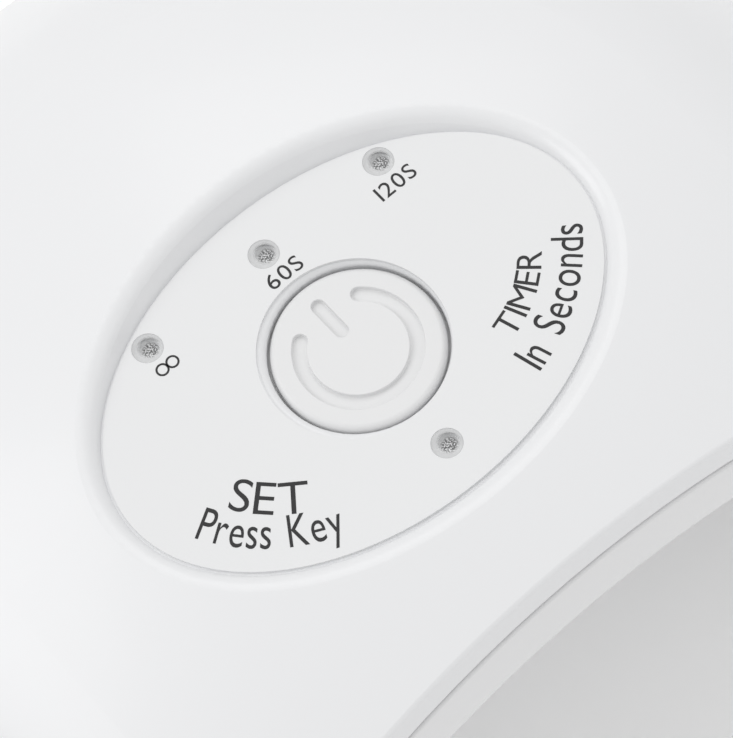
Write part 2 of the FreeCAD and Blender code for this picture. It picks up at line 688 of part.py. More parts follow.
def on_front(edge, forward):
    """Whether an edge lies on the front face, moved forward along its normal."""
    lean = math.radians(number("front_lean"))
    first, last = edge.ParameterRange
    for share in (0.1, 0.5, 0.9):
        spot = edge.valueAt(first + (last - first) * share)
        off = ((number("edge_y") - spot.y) * math.cos(lean)
               + (spot.z - number("edge_height")) * math.sin(lean))
        if abs(off - number(forward)) > 0.01:
            return False
    return True


def make_top_shell():
    """The dome, with its oval seat, board posts and case bosses."""
    outer = dome("shell_outer", "0", "0", "shell_low")
    lip = rounded("shell_lip", outer, "lip_round",
                  lambda edge: on_front(edge, "0") and edge.BoundBox.ZMax > number("shell_low") + 1)
    inner = dome("shell_inner", "shell_wall", str(BEYOND), f"-{BEYOND}")
    rise = "(label_drop + 2)"
    spread = "label_gap + shell_wall * (1 / sin(recess_slope) - 1 / tan(recess_slope))"
    seat = lofted("seat_cup", [
        oval("seat_cup_low", spread, "seat_low"),
        oval("seat_cup_high", f"{spread} + {rise} / tan(recess_slope)", f"seat_low + {rise}"),
    ])
    recess = lofted("recess", [
        oval("recess_low", "label_gap", "seat_top"),
        oval("recess_high", f"label_gap + {rise} / tan(recess_slope)", f"seat_top + {rise}"),
    ])
    skin = cut("shell_skin", lip, [inner])
    pieces = [skin, shared("seat_wall", [seat, lip])]
    for n, (x, y) in enumerate(BOARD_POSTS):
        pieces.append(rod(f"board_post_{n}", x, f"label_y + {y}", "board_top",
                          "post_radius", "board_depth + shell_wall / 2"))
    for n, (x, y) in enumerate(CASE_SPOTS):
        pieces.append(rod(f"case_boss_{n}", x, y, "shell_low", "case_boss", "case_boss_tall"))
    body = cut("shell_bored", fused("shell_whole", pieces), [recess])
    soft = rounded("shell_rim", body, "recess_round", lambda edge: (
        edge.BoundBox.ZMin > number("label_top") and edge.BoundBox.ZMax < number("crown_height")
        and abs(edge.BoundBox.Center.x) < number("label_long") + 9
        and edge.BoundBox.YMin > number("label_y - label_short") - 9
        and edge.BoundBox.YMax < number("label_y + label_short") + 9))
    holes = [rod("button_bore", "button_aside", "label_y", f"seat_low - {BEYOND}", "button_hole",
                 f"shell_wall + {2 * BEYOND}")]
    for name, (x, y) in LAMP_SPOTS.items():
        holes.append(rod(name + "_bore", x, y, f"seat_low - {BEYOND}", "lamp_hole",
                         f"shell_wall + {2 * BEYOND}"))
    for n, (x, y) in enumerate(BOARD_POSTS):
        holes.append(rod(f"board_post_bore_{n}", x, f"label_y + {y}", "board_top",
                         "small_shank + running_gap", "board_depth - 1"))
    for n, (x, y) in enumerate(CASE_SPOTS):
        holes.append(rod(f"case_boss_bore_{n}", x, y, "shell_low",
                         "case_shank + running_gap", "case_bite + 1"))
    holes.append(stadium("socket_opening", "crown_y + half_width", "socket_middle",
                         "socket_wide + 2 * socket_gap", "socket_tall + 2 * socket_gap",
                         "4 * shell_wall"))
    bored = cut("shell_drilled", soft, holes)
    return finished("top_shell", rounded("top_shell", bored, "button_hole_round", lambda edge: (
        edge.Curve.TypeId == "Part::GeomCircle"
        and abs(edge.Curve.Radius - number("button_hole")) < 0.01
        and abs(edge.BoundBox.ZMax - number("seat_top")) < 0.01)))


def make_control_label():
    """The oval label, with its button hole and four lamp holes."""
    blank = doc.addObject("Part::Extrusion", "label_blank")
    blank.Base = oval("label_outline", "0", "seat_top")
    blank.DirMode = "Custom"
    blank.Dir = FreeCAD.Vector(0, 0, 1)
    blank.Solid = True
    bind(blank, LengthFwd="label_thick")
    tall = f"label_thick + {2 * BEYOND}"
    holes = [rod("label_button_hole", "0", "label_y", f"seat_top - {BEYOND}", "label_hole", tall)]
    for name, (x, y) in LAMP_SPOTS.items():
        holes.append(rod(name + "_label_hole", x, y, f"seat_top - {BEYOND}", "lamp_hole", tall))
    finished("control_label", cut("control_label", blank, holes))


def make_symbol():
    """The sunk power symbol: an open ring with round ends, and a round-ended bar."""
    low = "button_top - symbol_depth"
    tall = f"symbol_depth + {BEYOND}"
    opening = number("symbol_opening")
    middle = "(symbol_outer + symbol_inner) / 2"
    stroke = "(symbol_outer - symbol_inner) / 2"
    disc = rod("symbol_disc", "button_aside", "label_y", low, "symbol_outer", tall,
               turned("z", 90 + opening))
    bind(disc, Angle="360 - 2 * symbol_opening")
    core = rod("symbol_core", "button_aside", "label_y", f"{low} - {BEYOND}", "symbol_inner",
               f"{tall} + {2 * BEYOND}")
    pieces = [cut("symbol_ring", disc, [core])]
    for hand in HANDS:
        pieces.append(rod(f"symbol_ring_end_{hand + 1}",
                          f"button_aside + {hand} * {middle} * sin(symbol_opening)",
                          f"label_y + {middle} * cos(symbol_opening)", low, stroke, tall))
    for name, spot in (("near", "symbol_bar_low + symbol_bar_width / 2"),
                       ("far", "symbol_bar_high - symbol_bar_width / 2")):
        pieces.append(rod(f"symbol_bar_{name}", "button_aside", f"label_y + {spot}", low,
                          "symbol_bar_width / 2", tall))
    pieces.append(block("symbol_bar", "button_aside",
                        "label_y + (symbol_bar_low + symbol_bar_high) / 2",
                        low, "symbol_bar_width",
                        "symbol_bar_high - symbol_bar_low - symbol_bar_width", tall))
    return pieces


def make_power_button():
    """The round cap: a cup with a collar that holds it in, and a nub on the switch."""
    nub = "board_top + plunger_top + running_gap"
    collar_low = "collar_top - button_flange"
    outline = [
        ("0", nub), ("plunger_radius", nub), ("plunger_radius", "button_under"),
        ("button_radius - button_wall", "button_under"),
        ("button_radius - button_wall", collar_low),
        ("button_radius + button_flange", collar_low),
        ("button_radius + button_flange", "collar_top"), ("button_radius", "collar_top"),
        ("button_radius", "button_top"), ("0", "button_top"),
    ]
    body = spun_body("button_blank", outline, "button_aside", "label_y")
    doc.recompute()
    rims = [f"Edge{n}" for n, edge in enumerate(body.Tip.Shape.Edges, start=1)
            if edge.Curve.TypeId == "Part::GeomCircle"
            and abs(edge.Curve.Radius - number("button_radius")) < 0.01
            and abs(edge.BoundBox.ZMax - number("button_top")) < 0.01]
    spin = body.Tip
    soft = body.newObject("PartDesign::Fillet", "button_rim")
    soft.Base = (spin, rims)
    bind(soft, Radius="button_rim_round")
    body.Tip = soft
    finished("power_button", cut("power_button", body, make_symbol()))


def make_switch():
    """The tact switch: a square body and the plunger that slides in it."""
    box = block("switch_box", "0", "label_y", "board_top", "switch_side", "switch_side",
                "switch_tall")
    sunk = "board_top + switch_tall - plunger_sunk"
    well = rod("switch_well", "0", "label_y", f"{sunk} - button_travel - running_gap",
               "plunger_radius + running_gap", f"{BEYOND}")
    finished("tact_switch_body", cut("tact_switch_body", box, [well]))
    finished("tact_plunger", rod("tact_plunger", "0", "label_y", sunk, "plunger_radius",
                                 "plunger_top - switch_tall + plunger_sunk"))


def make_indicator_lamps():
    """Four small flat-topped round lamps on their leads, each a node of its own."""
    for name, (x, y) in LAMP_SPOTS.items():
        foot = "lamp_top - lamp_tall"
        bulb = rod(name + "_bulb", x, y, foot, "lamp_radius", "lamp_tall")
        soft = rounded(name + "_top", bulb, "lamp_edge_round",
                       lambda edge: edge.BoundBox.ZMin > number("lamp_top") - 0.01)
        pieces = [soft, rod(name + "_rim", x, y, foot, "lamp_radius + lamp_rim", "lamp_rim_tall")]
        for hand in HANDS:
            pieces.append(block(f"{name}_lead_{hand + 1}", f"({x}) + {hand} * lead_pitch / 2", y,
                                "board_top", "lead_side", "lead_side",
                                f"{foot} - board_top + lamp_rim_tall / 2"))
        finished(name, fused(name, pieces))


def make_control_board():
    """The control board under the seat, with its four screws."""
    finished("control_board", board_body(
        "control_board", "0", "label_y", "board_low", "board_long", "board_wide",
        "board_thick", BOARD_POSTS, "small_shank + screw_clear", "board_corner"))
    screws = [screw(f"board_screw_{n}", (x, f"label_y + {y}", "board_low"), turned("x", 180),
                    "small_shank", "board_thick + small_bite", "small_head", "small_head_tall")
              for n, (x, y) in enumerate(BOARD_POSTS)]
    finished("board_screws", fused("board_screws", screws))


def make_timer_chip():
    """The timer chip, with a row of legs along each of its two long sides."""
    y = "label_y - chip_front"
    pieces = [block("chip_case", "-chip_aside", y, "board_top + chip_lift", "chip_wide",
                    "chip_long", "chip_tall")]
    for hand in HANDS:
        for n in range(CHIP_LEGS):
            along = f"{n - (CHIP_LEGS - 1) / 2} * chip_leg_pitch"
            pieces.append(block(f"chip_leg_{hand + 1}_{n}",
                                f"{hand} * chip_leg_reach - chip_aside", f"{y} + {along}",
                                "board_top", "chip_leg_long", "chip_leg_side",
                                "chip_leg_side"))
    finished("timer_chip", fused("timer_chip", pieces))


def make_drivers():
    """Two flat power transistors, each with a tab and two legs."""
    pieces = []
    for n, along in enumerate(HANDS):
        y = f"label_y - chip_front + {along} * driver_pitch / 2"
        pieces.append(block(f"driver_case_{n}", "chip_aside", y, "board_top + driver_lift",
                            "driver_long", "driver_wide", "driver_tall"))
        pieces.append(block(f"driver_tab_{n}", "chip_aside - driver_tab_reach", y, "board_top",
                            "driver_tab_long", "driver_tab_wide", "driver_metal"))
        for hand in HANDS:
            pieces.append(block(f"driver_leg_{n}_{hand + 1}", "chip_aside + driver_leg_reach",
                                f"{y} + {hand} * driver_leg_pitch / 2", "board_top",
                                "driver_leg_long", "driver_leg_wide", "driver_metal"))
    finished("driver_transistors", fused("driver_transistors", pieces))


def under_board(name, spots, size):
    """A row of like surface-mounted blocks under the board, one node."""
    long, wide, tall = (f"{size}_{side}" for side in ("long", "wide", "tall"))
    finished(name, fused(name, [
        block(f"{name}_{n}", x, f"label_y + {y}", f"board_low - {tall}", long, wide, tall)
        for n, (x, y) in enumerate(spots)]))


def make_supply_parts():
    """The coil, the electrolytic capacitor and the small parts under the board."""
    y = "label_y - supply_front"
    finished("power_inductor", block("power_inductor", "-coil_aside", y,
                                     "board_low - coil_tall", "coil_side", "coil_side",
                                     "coil_tall"))
    finished("electrolytic_capacitor", fused("electrolytic_capacitor", [
        block("capacitor_base", "can_aside", y, "board_low - can_base_tall", "can_base",
              "can_base", "can_base_tall"),
        rod("capacitor_can", "can_aside", y, "board_low - can_tall", "can_radius",
            "can_tall - can_base_tall / 2")]))
    under_board("board_resistors", [
        (f"{across} * resistor_pitch", f"resistor_back + {row} * resistor_pitch")
        for across in (-1, 0, 1) for row in (0, 1)], "resistor")
    under_board("board_capacitors", [
        (f"{hand} * {aside}", "capacitor_back")
        for hand in HANDS for aside in ("capacitor_far", "capacitor_near")], "capacitor")


def make_connectors():
    """The two wire connectors, each with two round ways in from behind."""
    for name, hand in (("inlet_connector", -1), ("lamp_connector", 1)):
        x = f"{hand} * connector_aside"
        shell = block(name + "_shell", x, "label_y + connector_back", "board_top",
                      "connector_wide", "connector_deep", "connector_tall")
        holes = [rod(f"{name}_hole_{n}", f"{x} + {aside} * wire_pitch / 2",
                     "label_y + connector_back + connector_deep / 2 + wire_sunk",
                     "wire_level", "wire_radius + running_gap", "3 * wire_sunk", UPRIGHT)
                 for n, aside in enumerate(HANDS)]
        finished(name, cut(name, shell, holes))


def leaning_arch(name, forward, grow):
    """The outline of the mouth on the front face, moved forward along the face's normal."""
    turn = turned("x", 90 - number("front_lean"))
    sketch = free_sketch(name, turn, "0", f"edge_y - ({forward}) * cos(front_lean)",
                         f"edge_height + ({forward}) * sin(front_lean)")
    return draw_arch(sketch, f"tunnel_half + ({grow})", f"({grow}) - mouth_drop",
                     f"mouth_radius + ({grow})", f"mouth_shoulder + ({grow})",
                     f"-(edge_height + {2 * BEYOND}) / cos(front_lean)")


def tunnel(name, grow, forward):
    """The space of the tunnel and its mouth, grown all round."""
    sizes = (f"tunnel_half + ({grow})", f"ceiling_height + ({grow})",
             f"ceiling_radius + ({grow})", f"tunnel_shoulder + ({grow})")
    floor = f"-{2 * BEYOND}"
    rear = draw_arch(free_sketch(name + "_half", UPRIGHT, y="crown_y"), *sizes, floor,
                     whole=False)
    middle = draw_arch(free_sketch(name + "_whole", UPRIGHT, y="crown_y"), *sizes, floor)
    straight = doc.addObject("Part::Extrusion", name + "_straight")
    straight.Base = middle
    straight.DirMode = "Normal"
    straight.Solid = True
    bind(straight, LengthFwd="mouth_depth")
    start = draw_arch(free_sketch(name + "_start", UPRIGHT, y="crown_y - mouth_depth"),
                      *sizes, floor)
    mouth = lofted(name + "_mouth", [start, leaning_arch(name + "_end", forward, grow)])
    return fused(name, [swept_round(name + "_rear", rear, (0, 0, 1), 180), straight, mouth])


def make_inner_liner():
    """The liner: front flange, flared mouth and tunnel, with lamp holes and board bosses."""
    flange_form = dome("flange_form", "shell_wall + groove_gap", "-flange_sunk", "shell_low")
    behind = window("flange_behind", "-(flange_sunk + flange_thick)", f"-{2 * BEYOND}",
                    f"crown_height + {2 * BEYOND}")
    soft = rounded("flange_lip", flange_form, "flange_round", lambda edge: (
        on_front(edge, "-flange_sunk") and edge.BoundBox.ZMax > number("shell_low") + 1))
    flange = cut("flange", soft, [behind])
    outside = tunnel("liner_outside", "liner_wall", "-(flange_sunk + flange_thick / 2)")
    kept = shared("liner_outside_kept", [outside, window(
        "liner_window", "-(flange_sunk + flange_thick / 2)", "shell_low",
        f"crown_height + {BEYOND}")])
    pieces = [flange, kept]
    holes = [tunnel("liner_inside", "0", "1")]
    for n, (spot, turn) in enumerate(board_screw_places()):
        root = "lamp_board_gap + liner_wall / 2"
        if n in ROOF_SCREWS:
            root += f" + {SAG}"
        pieces.append(aimed_rod(f"lamp_boss_{n}", spot, turn, "small_boss", f"-({root})", root))
        holes.append(aimed_rod(f"lamp_boss_hole_{n}", spot, turn, "small_shank + running_gap",
                               "-small_bite", "small_bite + 1"))
    for n, (spot, turn, _) in enumerate(bead_places()):
        holes.append(aimed_rod(f"bead_hole_{n}", spot, turn, "bead_hole", "0", "8"))
    sharp = cut("liner_sharp", fused("liner_whole", pieces), holes)
    outline = doc.getObject("liner_inside_end")

    def mouth_edge(edge):
        first, last = edge.ParameterRange
        middle = Part.Vertex(edge.valueAt((first + last) / 2))
        return on_front(edge, "-flange_sunk") and middle.distToShape(outline.Shape)[0] < 2

    finished("inner_liner", rounded("inner_liner", sharp, "mouth_round", mouth_edge))


def make_lamp_boards():
    """Five flat boards outside the liner, and the screws that hold them."""
    holes = [aimed_rod(f"lamp_board_hole_{n}", spot, turn, "small_shank + screw_clear",
                       "-1", "lamp_board_thick + 2")
             for n, (spot, turn) in enumerate(board_screw_places())]
    roof = block("roof_board_blank", "0", "roof_board_y", "roof_board_low",
                 "roof_board_long", "roof_board_wide", "lamp_board_thick")
    finished("roof_lamp_board", cut("roof_lamp_board", roof, [holes[n] for n in ROOF_SCREWS]))
    for name, hand, used in (("left_lamp_board", -1, (1, 3)), ("right_lamp_board", 1, (6, 8))):
        x = f"{hand} * (liner_half + lamp_board_gap + lamp_board_thick / 2)"
        blank = block(name + "_blank", x, "side_board_y", "lamp_board_low",
                      "lamp_board_thick", "side_board_long", "lamp_board_tall")
        finished(name, cut(name, blank, [holes[n] for n in used]))
    rear = []
    for hand, used in ((-1, (2, 4)), (1, (7, 9))):
        spot = (*rear_spot(hand, "0"), "bead_line")
        blank = aimed_block(f"rear_board_blank_{hand + 1}", spot, rear_turn(hand, -90),
                            "rear_board_wide", "lamp_board_tall", "lamp_board_thick")
        rear.append(cut(f"rear_board_{hand + 1}", blank, [holes[n] for n in used]))
    finished("rear_lamp_boards", fused("rear_lamp_boards", rear))
    screws = [screw(f"lamp_board_screw_{n}",
                    [f"({text}) + lamp_board_thick * ({share:.9f})" for text, share in
                     zip(spot, turn.multVec(FreeCAD.Vector(0, 0, 1)))], turn, "small_shank",
                    "lamp_board_thick + small_bite - running_gap", "small_head",
                    "small_head_tall")
              for n, (spot, turn) in enumerate(board_screw_places())]
    finished("lamp_board_screws", fused("lamp_board_screws", screws))


def make_beads():
    """Twelve beads: a square base on each board place and a domed lens into the tunnel."""
    bases, lenses = [], []
    for n, (spot, turn, tall) in enumerate(bead_places()):
        base = block(f"bead_base_{n}", "0", "0", "0", "bead_base", "bead_base",
                     "bead_base_thick")
        socket = local_rod(f"bead_socket_{n}", "bead_lens - bead_lip", "bead_base_thick / 2",
                           "bead_base_thick")
        bases.append(set_at(cut(f"bead_base_cut_{n}", base, [socket]), spot, turn))
        stem = local_rod(f"bead_stem_{n}", "bead_lens", "bead_base_thick",
                         f"{tall} - bead_base_thick")
        ball = bind(doc.addObject("Part::Sphere", f"bead_ball_{n}"), Radius="bead_lens * lens_crown")
        place(ball, "0", "0", f"{tall} - bead_lens * lens_crown")
        tail = local_rod(f"bead_tail_{n}", "bead_lens * 1.5", "-bead_base_thick",
                         f"{tall} - bead_lens + bead_base_thick")
        form = fused(f"bead_form_{n}", [ball, tail])
        lenses.append(set_at(shared(f"bead_lens_{n}", [stem, form]), spot, turn))
    finished("uv_bead_bases", fused("uv_bead_bases", bases))
    finished("uv_bead_lenses", fused("uv_bead_lenses", lenses))


def make_base_frame():
    """The horseshoe under the walls, with its feet, screws and inlet posts."""
    plate = dome("frame_form", "0", "0", "foot_height", "shell_low")
    tall = f"frame_thick + {2 * BEYOND}"
    low = f"foot_height - {BEYOND}"
    opening = [
        rod("frame_rear_opening", "0", "crown_y", low, "tunnel_half", tall),
        block("frame_front_opening", "0", "crown_y - half_width", low, "2 * tunnel_half",
              "2 * half_width", tall),
    ]
    pieces = [cut("frame_open", plate, opening)]
    for n, (x, _) in enumerate(INLET_POSTS):
        pieces.append(rod(f"inlet_post_{n}", x, "inlet_board_y", "shell_low - frame_thick / 2",
                          "small_boss", "inlet_post_tall + frame_thick / 2"))
    holes = []
    for n, (x, y) in enumerate(CASE_SPOTS):
        holes.append(rod(f"frame_bore_{n}", x, y, low, "case_shank + screw_clear", tall))
        holes.append(rod(f"frame_head_{n}", x, y, "foot_height - 1", "case_head + screw_clear",
                         "case_head_tall + 1"))
    for n, (x, y) in enumerate(FOOT_SPOTS):
        holes.append(rod(f"frame_foot_{n}", x, y, low, "foot_radius + running_gap",
                         f"{BEYOND} + foot_sink"))
    for n, (x, _) in enumerate(INLET_POSTS):
        holes.append(rod(f"inlet_post_bore_{n}", x, "inlet_board_y", "shell_low",
                         "small_shank + running_gap", f"inlet_post_tall + {BEYOND}"))
    finished("base_frame", cut("base_frame", fused("frame_whole", pieces), holes))
    screws = [screw(f"case_screw_{n}", (x, y, "foot_height + case_head_tall"),
                    turned("x", 180), "case_shank",
                    "frame_thick - case_head_tall + case_bite", "case_head",
                    "case_head_tall") for n, (x, y) in enumerate(CASE_SPOTS)]
    finished("case_screws", fused("case_screws", screws))
    feet = [rod(f"foot_{n}", x, y, "0", "foot_radius", "foot_height + foot_sink")
            for n, (x, y) in enumerate(FOOT_SPOTS)]
    finished("rubber_feet", rounded("rubber_feet", fused("feet_sharp", feet), "foot_round",
                                    lambda edge: edge.BoundBox.ZMax < 0.01))


def make_inlet():
    """The supply inlet: a small board on two posts, its socket shell and tongue."""
    ways = [(x, "0") for x, _ in INLET_POSTS]
    finished("inlet_board", board_body(
        "inlet_board", "0", "inlet_board_y", "inlet_board_low", "inlet_board_long",
        "inlet_board_wide", "inlet_board_thick", ways, "small_shank + screw_clear",
        "board_corner / 2"))
    screws = [screw(f"inlet_screw_{n}", (x, "inlet_board_y", "inlet_board_top"),
                    turned("x", 0), "small_shank", "inlet_board_thick + inlet_post_tall - 1",
                    "small_head", "small_head_tall") for n, (x, _) in enumerate(INLET_POSTS)]
    finished("inlet_board_screws", fused("inlet_board_screws", screws))
    outer = stadium("socket_outer", "socket_y", "socket_middle", "socket_wide", "socket_tall",
                    "socket_deep")
    inner = stadium("socket_inner", "socket_y + socket_back", "socket_middle",
                    "socket_wide - 2 * socket_wall", "socket_tall - 2 * socket_wall",
                    "socket_deep")
    finished("socket_shell", cut("socket_shell", outer, [inner]))
    finished("socket_tongue", block(
        "socket_tongue", "0", "socket_y + (socket_back - tongue_sunk) / 2",
        "socket_middle - tongue_thick / 2", "tongue_wide",
        "socket_deep - socket_back - tongue_sunk", "tongue_thick"))


def wire(name, route, radius):
    """A round wire along straight runs joined by tangent arcs."""
    spots = [FreeCAD.Vector(*(number(text) for text in spot)) for spot in route]
    size = number(radius)
    edges = []
    start = spots[0]
    for before, here, after in zip(spots, spots[1:], spots[2:]):
        back = (before - here).normalize()
        ahead = (after - here).normalize()
        half_turn = (math.pi - back.getAngle(ahead)) / 2
        reach = 0.45 * min((before - here).Length, (after - here).Length)
        bend = reach / math.tan(half_turn)
        first, last = here + back * reach, here + ahead * reach
        middle = (back + ahead).normalize()
        centre_gap = bend / math.cos(half_turn)
        top = here + middle * (centre_gap - bend)
        edges.append(Part.LineSegment(start, first).toShape())
        edges.append(Part.Arc(first, top, last).toShape())
        start = last
    edges.append(Part.LineSegment(start, spots[-1]).toShape())
    path = Part.Wire(edges)
    way = (spots[1] - spots[0]).normalize()
    ring = Part.Wire(Part.makeCircle(size, spots[0], way))
    item = doc.addObject("Part::Feature", name)
    item.Shape = path.makePipeShell([ring], True, False, 2)
    return item


def make_wires():
    """The supply pair from the inlet, and the pairs between the lamp boards."""
    leave = "label_y + connector_back + connector_deep / 2"
    down = "inlet_board_y - solder_inset"
    for name, hand in (("supply_wire_red", -1), ("supply_wire_black", 1)):
        near = f"{hand} * wire_pitch / 2"
        x = f"-connector_aside + {near}"
        route = [
            (x, f"{leave} - wire_sunk", "wire_level"),
            (x, "crown_y + half_width - supply_bend_first", "wire_level"),
            (f"{near} - supply_bend_aside", "crown_y + half_width - supply_bend_second",
             "wire_level - supply_fall"),
            (near, "crown_y + half_width - supply_bend_last",
             "inlet_board_top + supply_bend_height"),
            (near, down, "inlet_board_top + supply_end_height"),
            (near, down, "inlet_board_top"),
        ]
        finished(name, wire(name, route, "wire_radius"))
    top = "roof_board_low + lamp_board_thick"
    level = f"{top} + wire_radius"
    face = "lamp_board_thick + wire_radius + running_gap"
    board_top = "lamp_board_low + lamp_board_tall"
    bend, end = f"{board_top} + side_bend_height", f"{board_top} - solder_drop"
    links = []
    for hand in HANDS:
        x = f"connector_aside + {hand} * wire_pitch / 2"
        links.append(wire(f"lamp_wire_roof_{hand + 1}", [
            (x, f"{leave} - wire_sunk", "wire_level"), (x, f"{leave} + wire_drop", "wire_level"),
            (x, f"{leave} + wire_drop", top)], "wire_radius"))
        side = f"{hand} * (liner_half + lamp_board_gap + {face}"
        links.append(wire(f"lamp_wire_side_{hand + 1}", [
            (f"{hand} * (roof_board_long / 2 - side_solder)", "crown_y - side_wire_front", level),
            (f"{hand} * (liner_half - side_bend_in)", "crown_y - side_wire_front", level),
            (f"{hand} * (liner_half - wall_bend_in)", "crown_y - side_wire_front - wire_step",
             "ceiling_height - side_bend_fall"),
            (f"{side} + wire_step)", "crown_y - side_wire_front - 2 * wire_step", bend),
            (f"{side})", "crown_y - side_wire_front - 3 * wire_step", end)], "wire_radius"))
        links.append(wire(f"lamp_wire_rear_{hand + 1}", [
            (f"{hand} * (roof_board_long / 2 - rear_solder)",
             "roof_board_y + roof_board_wide / 2 - rear_solder / 2", level),
            (f"{hand} * (liner_half - rear_bend_in) * sin(rear_board_angle)",
             "crown_y + (liner_half - rear_bend_in) * cos(rear_board_angle)", level),
            (f"{hand} * (liner_half - wall_bend_in) * sin(rear_board_angle)",
             "crown_y + (liner_half - wall_bend_in) * cos(rear_board_angle)",
             "ceiling_height - rear_bend_fall"),
            (*rear_spot(hand, f"{face} + wire_step"), bend),
            (*rear_spot(hand, face), end)], "wire_radius"))
    finished("lamp_wires", fused("lamp_wires", links))


def check_and_write():
    """Stop if anything failed, then write each sub-part to a file of its own."""
    doc.recompute()
    failed = [item.Name for item in doc.Objects if {"Invalid", "Error"} & set(item.State)]
    failed += [part.Label for part in parts if part.Shape.isNull() or not part.Shape.isValid()]
    if failed:
        raise RuntimeError(f"failed: {failed}")
    os.makedirs("parts", exist_ok=True)
    for part in parts:
        part.Shape.exportStep(f"parts/{part.Label}.step")
        print(part.Label, len(part.Shape.Solids), round(part.Shape.Volume, 1))


parts = []
make_top_shell()
make_control_label()
make_power_button()
make_switch()
make_indicator_lamps()
make_control_board()
make_timer_chip()
make_drivers()
make_supply_parts()
make_connectors()
make_inner_liner()
make_lamp_boards()
make_beads()
make_base_frame()
make_inlet()
make_wires()
check_and_write()
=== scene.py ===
"""The looks of a white UV LED nail lamp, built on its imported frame.

Every length is in metres in the frame's own axes: +Z up, the open front towards -Y. The classes
below hold one sub-assembly each; main() builds them in order.
"""
import logging
import math
from dataclasses import dataclass
from enum import Enum

import bmesh
import bpy
from mathutils import Matrix, Vector


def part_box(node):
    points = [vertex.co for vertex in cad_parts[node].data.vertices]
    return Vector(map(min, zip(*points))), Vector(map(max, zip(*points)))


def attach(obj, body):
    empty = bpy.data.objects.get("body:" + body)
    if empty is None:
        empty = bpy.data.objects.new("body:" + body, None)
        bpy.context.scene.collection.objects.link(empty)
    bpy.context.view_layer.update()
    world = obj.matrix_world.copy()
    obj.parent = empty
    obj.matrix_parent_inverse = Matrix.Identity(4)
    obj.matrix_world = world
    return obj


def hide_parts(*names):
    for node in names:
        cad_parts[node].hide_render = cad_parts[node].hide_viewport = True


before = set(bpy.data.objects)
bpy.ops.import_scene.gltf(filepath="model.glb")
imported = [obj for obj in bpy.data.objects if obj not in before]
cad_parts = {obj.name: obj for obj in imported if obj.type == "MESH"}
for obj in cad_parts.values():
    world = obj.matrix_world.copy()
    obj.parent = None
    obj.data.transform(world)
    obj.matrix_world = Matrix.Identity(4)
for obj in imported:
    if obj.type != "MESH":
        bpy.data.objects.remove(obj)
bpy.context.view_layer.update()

MM = 0.001
SHARP_ANGLE = math.radians(35)
SHADER = "Principled BSDF"
FINE_DETAIL = 4.0
BROAD_SCALE = 22.0
BROAD_DETAIL = 3.0
CLOUD_DETAIL = 5.0
CLOUD_ROUGHNESS = 0.6
MIX_FIRST, MIX_SECOND, MIX_RESULT = 6, 7, 2
log = logging.getLogger("nail_lamp")

Colour = tuple[float, float, float]
Spot = tuple[float, float]


def spot_of(node: str) -> Vector:
    """Return the middle of a frame node's box."""
    low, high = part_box(node)
    return (low + high) / 2


# ---------------------------------------------------------------- shader groups


class Effect(Enum):
    """Shared surface effects, each one a shader node group."""

    GRAIN = "moulded_grain"
    MOTTLE = "tone_mottle"
    PATCH = "round_patch"


class Socket(Enum):
    """Kinds of socket that a shader group can have."""

    VALUE = "NodeSocketFloat"
    COLOUR = "NodeSocketColor"
    VECTOR = "NodeSocketVector"


def new_group(effect: Effect, inputs: dict[str, tuple[Socket, object]],
              outputs: dict[str, Socket]) -> bpy.types.NodeTree:
    """Make an empty shader group with named sockets.

    Args:
        effect: The effect that the group makes.
        inputs: Socket name to its kind and default.
        outputs: Socket name to its kind.

    Returns:
        The group, with its input and output nodes in place.
    """
    group = bpy.data.node_groups.new(effect.value, "ShaderNodeTree")
    for name, (kind, default) in inputs.items():
        made = group.interface.new_socket(name=name, in_out="INPUT", socket_type=kind.value)
        made.default_value = default
    for name, kind in outputs.items():
        group.interface.new_socket(name=name, in_out="OUTPUT", socket_type=kind.value)
    group.nodes.new("NodeGroupInput")
    group.nodes.new("NodeGroupOutput")
    return group


def end_of(group: bpy.types.NodeTree, kind: str) -> bpy.types.Node:
    """Return the group's input or output node, by its type name."""
    return next(node for node in group.nodes if node.bl_idname == kind)


def build_grain() -> bpy.types.NodeTree:
    """Build the fine texture of moulded plastic: a height and a roughness that drift.

    Returns:
        The group, with Height and Roughness outputs.
    """
    group = new_group(
        Effect.GRAIN,
        {"Scale": (Socket.VALUE, 900.0), "Roughness": (Socket.VALUE, 0.4),
         "Spread": (Socket.VALUE, 0.05)},
        {"Height": Socket.VALUE, "Roughness": Socket.VALUE},
    )
    nodes, links = group.nodes, group.links
    start, finish = end_of(group, "NodeGroupInput"), end_of(group, "NodeGroupOutput")
    place = nodes.new("ShaderNodeTexCoord")
    fine = nodes.new("ShaderNodeTexNoise")
    fine.inputs["Detail"].default_value = FINE_DETAIL
    broad = nodes.new("ShaderNodeTexNoise")
    broad.inputs["Scale"].default_value = BROAD_SCALE
    broad.inputs["Detail"].default_value = BROAD_DETAIL
    links.new(place.outputs["Object"], fine.inputs["Vector"])
    links.new(place.outputs["Object"], broad.inputs["Vector"])
    links.new(start.outputs["Scale"], fine.inputs["Scale"])
    centred = nodes.new("ShaderNodeMath")
    centred.operation = "SUBTRACT"
    centred.inputs[1].default_value = 0.5
    links.new(broad.outputs["Fac"], centred.inputs[0])
    drift = nodes.new("ShaderNodeMath")
    drift.operation = "MULTIPLY_ADD"
    links.new(centred.outputs[0], drift.inputs[0])
    links.new(start.outputs["Spread"], drift.inputs[1])
    links.new(start.outputs["Roughness"], drift.inputs[2])
    links.new(fine.outputs["Fac"], finish.inputs["Height"])
    links.new(drift.outputs[0], finish.inputs["Roughness"])
    return group


